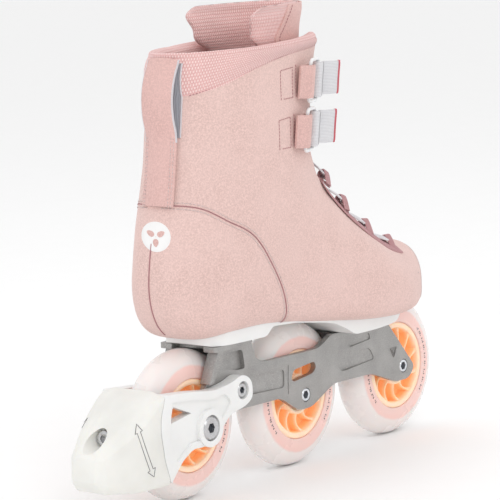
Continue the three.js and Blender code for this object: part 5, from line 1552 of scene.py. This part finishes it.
def heelPull():
    steps = smoothPath(pull["steps"], 5)
    centres = [(backX(z) - out, z) for z, out, lean in steps]
    rows, edges = [], {-1: [], 1: []}
    sewn = {(side, inset): [] for side in (-1, 1) for inset in (0.9, 0.76)}
    columns = [k / 6 - 1 for k in range(13)]
    for i, (z, out, lean) in enumerate(steps):
        a, b = centres[max(i - 1, 0)], centres[min(i + 1, len(steps) - 1)]
        run = Vector((b[0] - a[0], 0, b[1] - a[1])).normalized()
        up = Vector((-run.z, 0, run.x))
        at = Vector((centres[i][0], pull["aside"], centres[i][1]))
        half = pull["width"] / 2
        point = lambda c, t: at + Vector((0, c * half, 0)) + up * (t * (1 - 0.3 * abs(c) ** 6) - lean * c * c)
        rows.append([point(c, pull["thick"] / 2) for c in columns] +
                    [point(c, -pull["thick"] / 2) for c in columns[::-1]])
        for side in edges:
            edges[side].append(point(side * 0.985, -0.2))
            if z < 240:
                for inset in (0.9, 0.76):
                    spot = point(side * inset, pull["thick"] / 2 * (1 - 0.3 * inset ** 6) + 0.06)
                    sewn[(side, inset)].append((spot, up))
    makePiece("heelPullTape", skin(rows, ends="leaf"), "suedeTrim", rest, ["heel_pull"], 60)
    makePiece("heelPullStitches",
              joinParts([p for line in sewn.values() for p in stitchRow(line, 2.4, 1.5, 0.22)]),
              "thread")
    first = next(i for i, s in enumerate(steps) if s[0] > 236)
    for side, word in ((-1, "Right"), (1, "Left")):
        makePiece("pullPiping" + word, wire(edges[side][first:], 0.75, 8), "piping")
    # Grey mesh on the boot behind the loop, bound at each side.
    rows, bind = [], {-1: [], 1: []}
    collarTree = surfaceTree(collarSkin)
    for k in range(31):
        z = 239 + 47 * k / 30
        row = []
        for j in range(13):
            start = (-170, pull["aside"] - 12 + 2 * j, z)
            spots = [onSurface(tree, start, (1, 0, 0), 0.5) for tree in (bootTree, collarTree)]
            row.append(min(spots, key=lambda p: p.x if abs(p.z - z) < 1 else 0))
        rows.append(row + [p + Vector((0.8, 0, 0)) for p in row[::-1]])
        bind[-1].append(row[0])
        bind[1].append(row[-1])
    makePiece("heelAirMesh", skin(rows, ends="leaf"), "airMesh")
    for side, word in ((-1, "Right"), (1, "Left")):
        makePiece("meshBinding" + word, wire(bind[side], 0.7, 8), "piping")


heelPull()


# Seams and stitches.

def sewnSeam(name, line, side, lips, stitch, cord=0.42, colour="roseThread"):
    dense = smoothPath(line, 8)
    surface = []
    for p in dense:
        start = (p[0], side * 90, p[1]) if side else (-190, p[1], p[0])
        way = (0, -side, 0) if side else (1, 0, 0)
        surface.append(onSurface(bootTree, start, way, 0.0, True))
    points = [p for p, n in surface]
    makePiece(name + "Cord", wire([p + n * 0.1 for p, n in surface], cord, 6), colour)
    if not lips:
        return
    run = lengths(points)
    parts = []
    total, gap, long = run[-1], stitch[0], stitch[1]
    for lip in lips:
        d = 1.0
        while d < total - 1:
            i = max(k for k in range(len(run)) if run[k] <= d)
            i = min(i, len(points) - 2)
            along = (points[i + 1] - points[i]).normalized()
            n = surface[i][1]
            across = along.cross(n).normalized()
            t = (d - run[i]) / max(run[i + 1] - run[i], 1e-6)
            centre = points[i] + (points[i + 1] - points[i]) * t + across * lip + n * 0.12
            ends = [centre - along * long / 2 - n * 0.25, centre - along * long / 4 + n * 0.12,
                    centre + along * long / 4 + n * 0.12, centre + along * long / 2 - n * 0.25]
            parts.append(wire(ends, 0.26, 6))
            d += gap
    makePiece(name + "Stitches", joinParts(parts), "thread")


quarter = [(-130.6, 196.4), (-121, 194.9), (-112, 191.5), (-98, 183), (-84, 176), (-73.5, 168), (-62, 153),
           (-50.8, 135), (-44.5, 118), (-41.6, 106)]
for side, word in ((-1, "Right"), (1, "Left")):
    sewnSeam("quarterSeam" + word, quarter, side, (-2.0, 2.0), (2.6, 1.7))
heelLine = [(172, -0.5), (160, 0), (146, 0), (132, 0), (120, 0), (111, 0)]
sewnSeam("heelSeam", heelLine, 0, (), (2.6, 1.7), 0.45)
toeLine = [(146, 138), (138, 130), (131, 118), (127, 104), (126, 98)]
for side, word in ((-1, "Right"), (1, "Left")):
    sewnSeam("toeSeam" + word, toeLine, side, (), (2.6, 1.7), 0.35, "thread")


# Stitched boxes on the cuff where the buckle tabs are sewn down, and edge rows.
def surfaceStitches(line, side=-1, lift=0.1):
    return stitchRow([onSurface(bootTree, (p[0], side * 90, p[1]), (0, -side, 0), lift, True) for p in line],
                     2.2, 1.35, 0.28)


def stitchedEdges():
    parts = []
    edge = smoothPath([(x, z - 1.6) for x, z in boot["suedeEdge"] if -130 < x < 30], 4)
    for side in (-1, 1):
        parts += surfaceStitches(edge, side)
    for strap, x0, x1, column in (("upper", -41.5, -27, -22.5), ("lower", -45, -31.5, -26.5)):
        z = straps[strap]["z"]
        box = [(x0, z - 10), (x0, z + 9), (x1, z + 10), (x1, z - 10), (x0, z - 10)]
        line = [Vector((*box[i], 0)).lerp(Vector((*box[i + 1], 0)), s / 6)[:2]
                for i in range(4) for s in range(6)]
        parts += surfaceStitches(line)
        parts += surfaceStitches([(column, z + 11 - 22 * s / 8) for s in range(9)])
    makePiece("cuffStitches", joinParts(parts), "roseThread")


stitchedEdges()


# Printed disc on the heel.

emblem = {"aim": (-147.3, -13.5, 176.5), "radius": 9.75, "way": (0.786, 0.618, 0)}


def emblemPiece():
    way = Vector(emblem["way"]).normalized()
    across = Vector((way.y, -way.x, 0))
    start = Vector(emblem["aim"]) - way * 60

    def put(a, b, lift):
        p = start + across * a + Vector((0, 0, b))
        return onSurface(bootTree, p, way, lift)

    def patch(outline, lift):
        centre = (sum(a for a, b in outline) / len(outline), sum(b for a, b in outline) / len(outline))
        rows = []
        for share in (0.02, 0.35, 0.7, 0.93, 1.0):
            rows.append([put(centre[0] + (a - centre[0]) * share, centre[1] + (b - centre[1]) * share,
                             lift if share < 0.99 else -0.1) for a, b in outline])
        return skin(rows, ends=None)

    r = emblem["radius"]
    disc = [(r * math.cos(math.tau * k / 64), r * math.sin(math.tau * k / 64)) for k in range(64)]
    makePiece("heelDisc", patch(disc, 0.28), "emblem", rest, [], 60)
    # A plain three-bladed pinwheel in the suede's colour.
    blades = []
    for i in range(3):
        turn = math.tau * i / 3 + 0.5
        shape = []
        for k in range(24):
            a = math.tau * k / 24
            x, y = 3.9 + 2.7 * math.cos(a), 1.45 * math.sin(a) * (1.25 - 0.3 * math.cos(a))
            shape.append((x * math.cos(turn) - y * math.sin(turn), x * math.sin(turn) + y * math.cos(turn)))
        blades.append(patch(shape, 0.46))
    makePiece("heelDiscBlades", joinParts(blades), "suedeTrim", rest, [], 60)


emblemPiece()
print("seams and print ready")


# Studio.

def floorPiece():
    reach, low = 6000, cadBounds[0].z * 1000 - zeroZ
    rows = []
    for j in range(25):
        y = -reach + 2 * reach * j / 24
        rows.append([(-reach + 2 * reach * i / 24, y, low - 0.2) for i in range(25)])
    verts, faces, marks = skin(rows, ringClosed=False)
    mesh = bpy.data.meshes.new("paleFloor")
    mesh.from_pydata([inPlace(v) for v in verts], [], faces)
    floor = bpy.data.objects.new("paleFloor", mesh)
    bpy.context.scene.collection.objects.link(floor)
    material, add, put = nodeKit("palePaper")
    space = add("ShaderNodeTexCoord").outputs["Object"]
    put("Base Color", between(add, grain(add, space, 30, 3), (0.97, 0.97, 0.97), (0.99, 0.99, 0.99)))
    put("Roughness", 0.7)
    floor.data.materials.append(material)


setCamera()
setLights()
floorPiece()
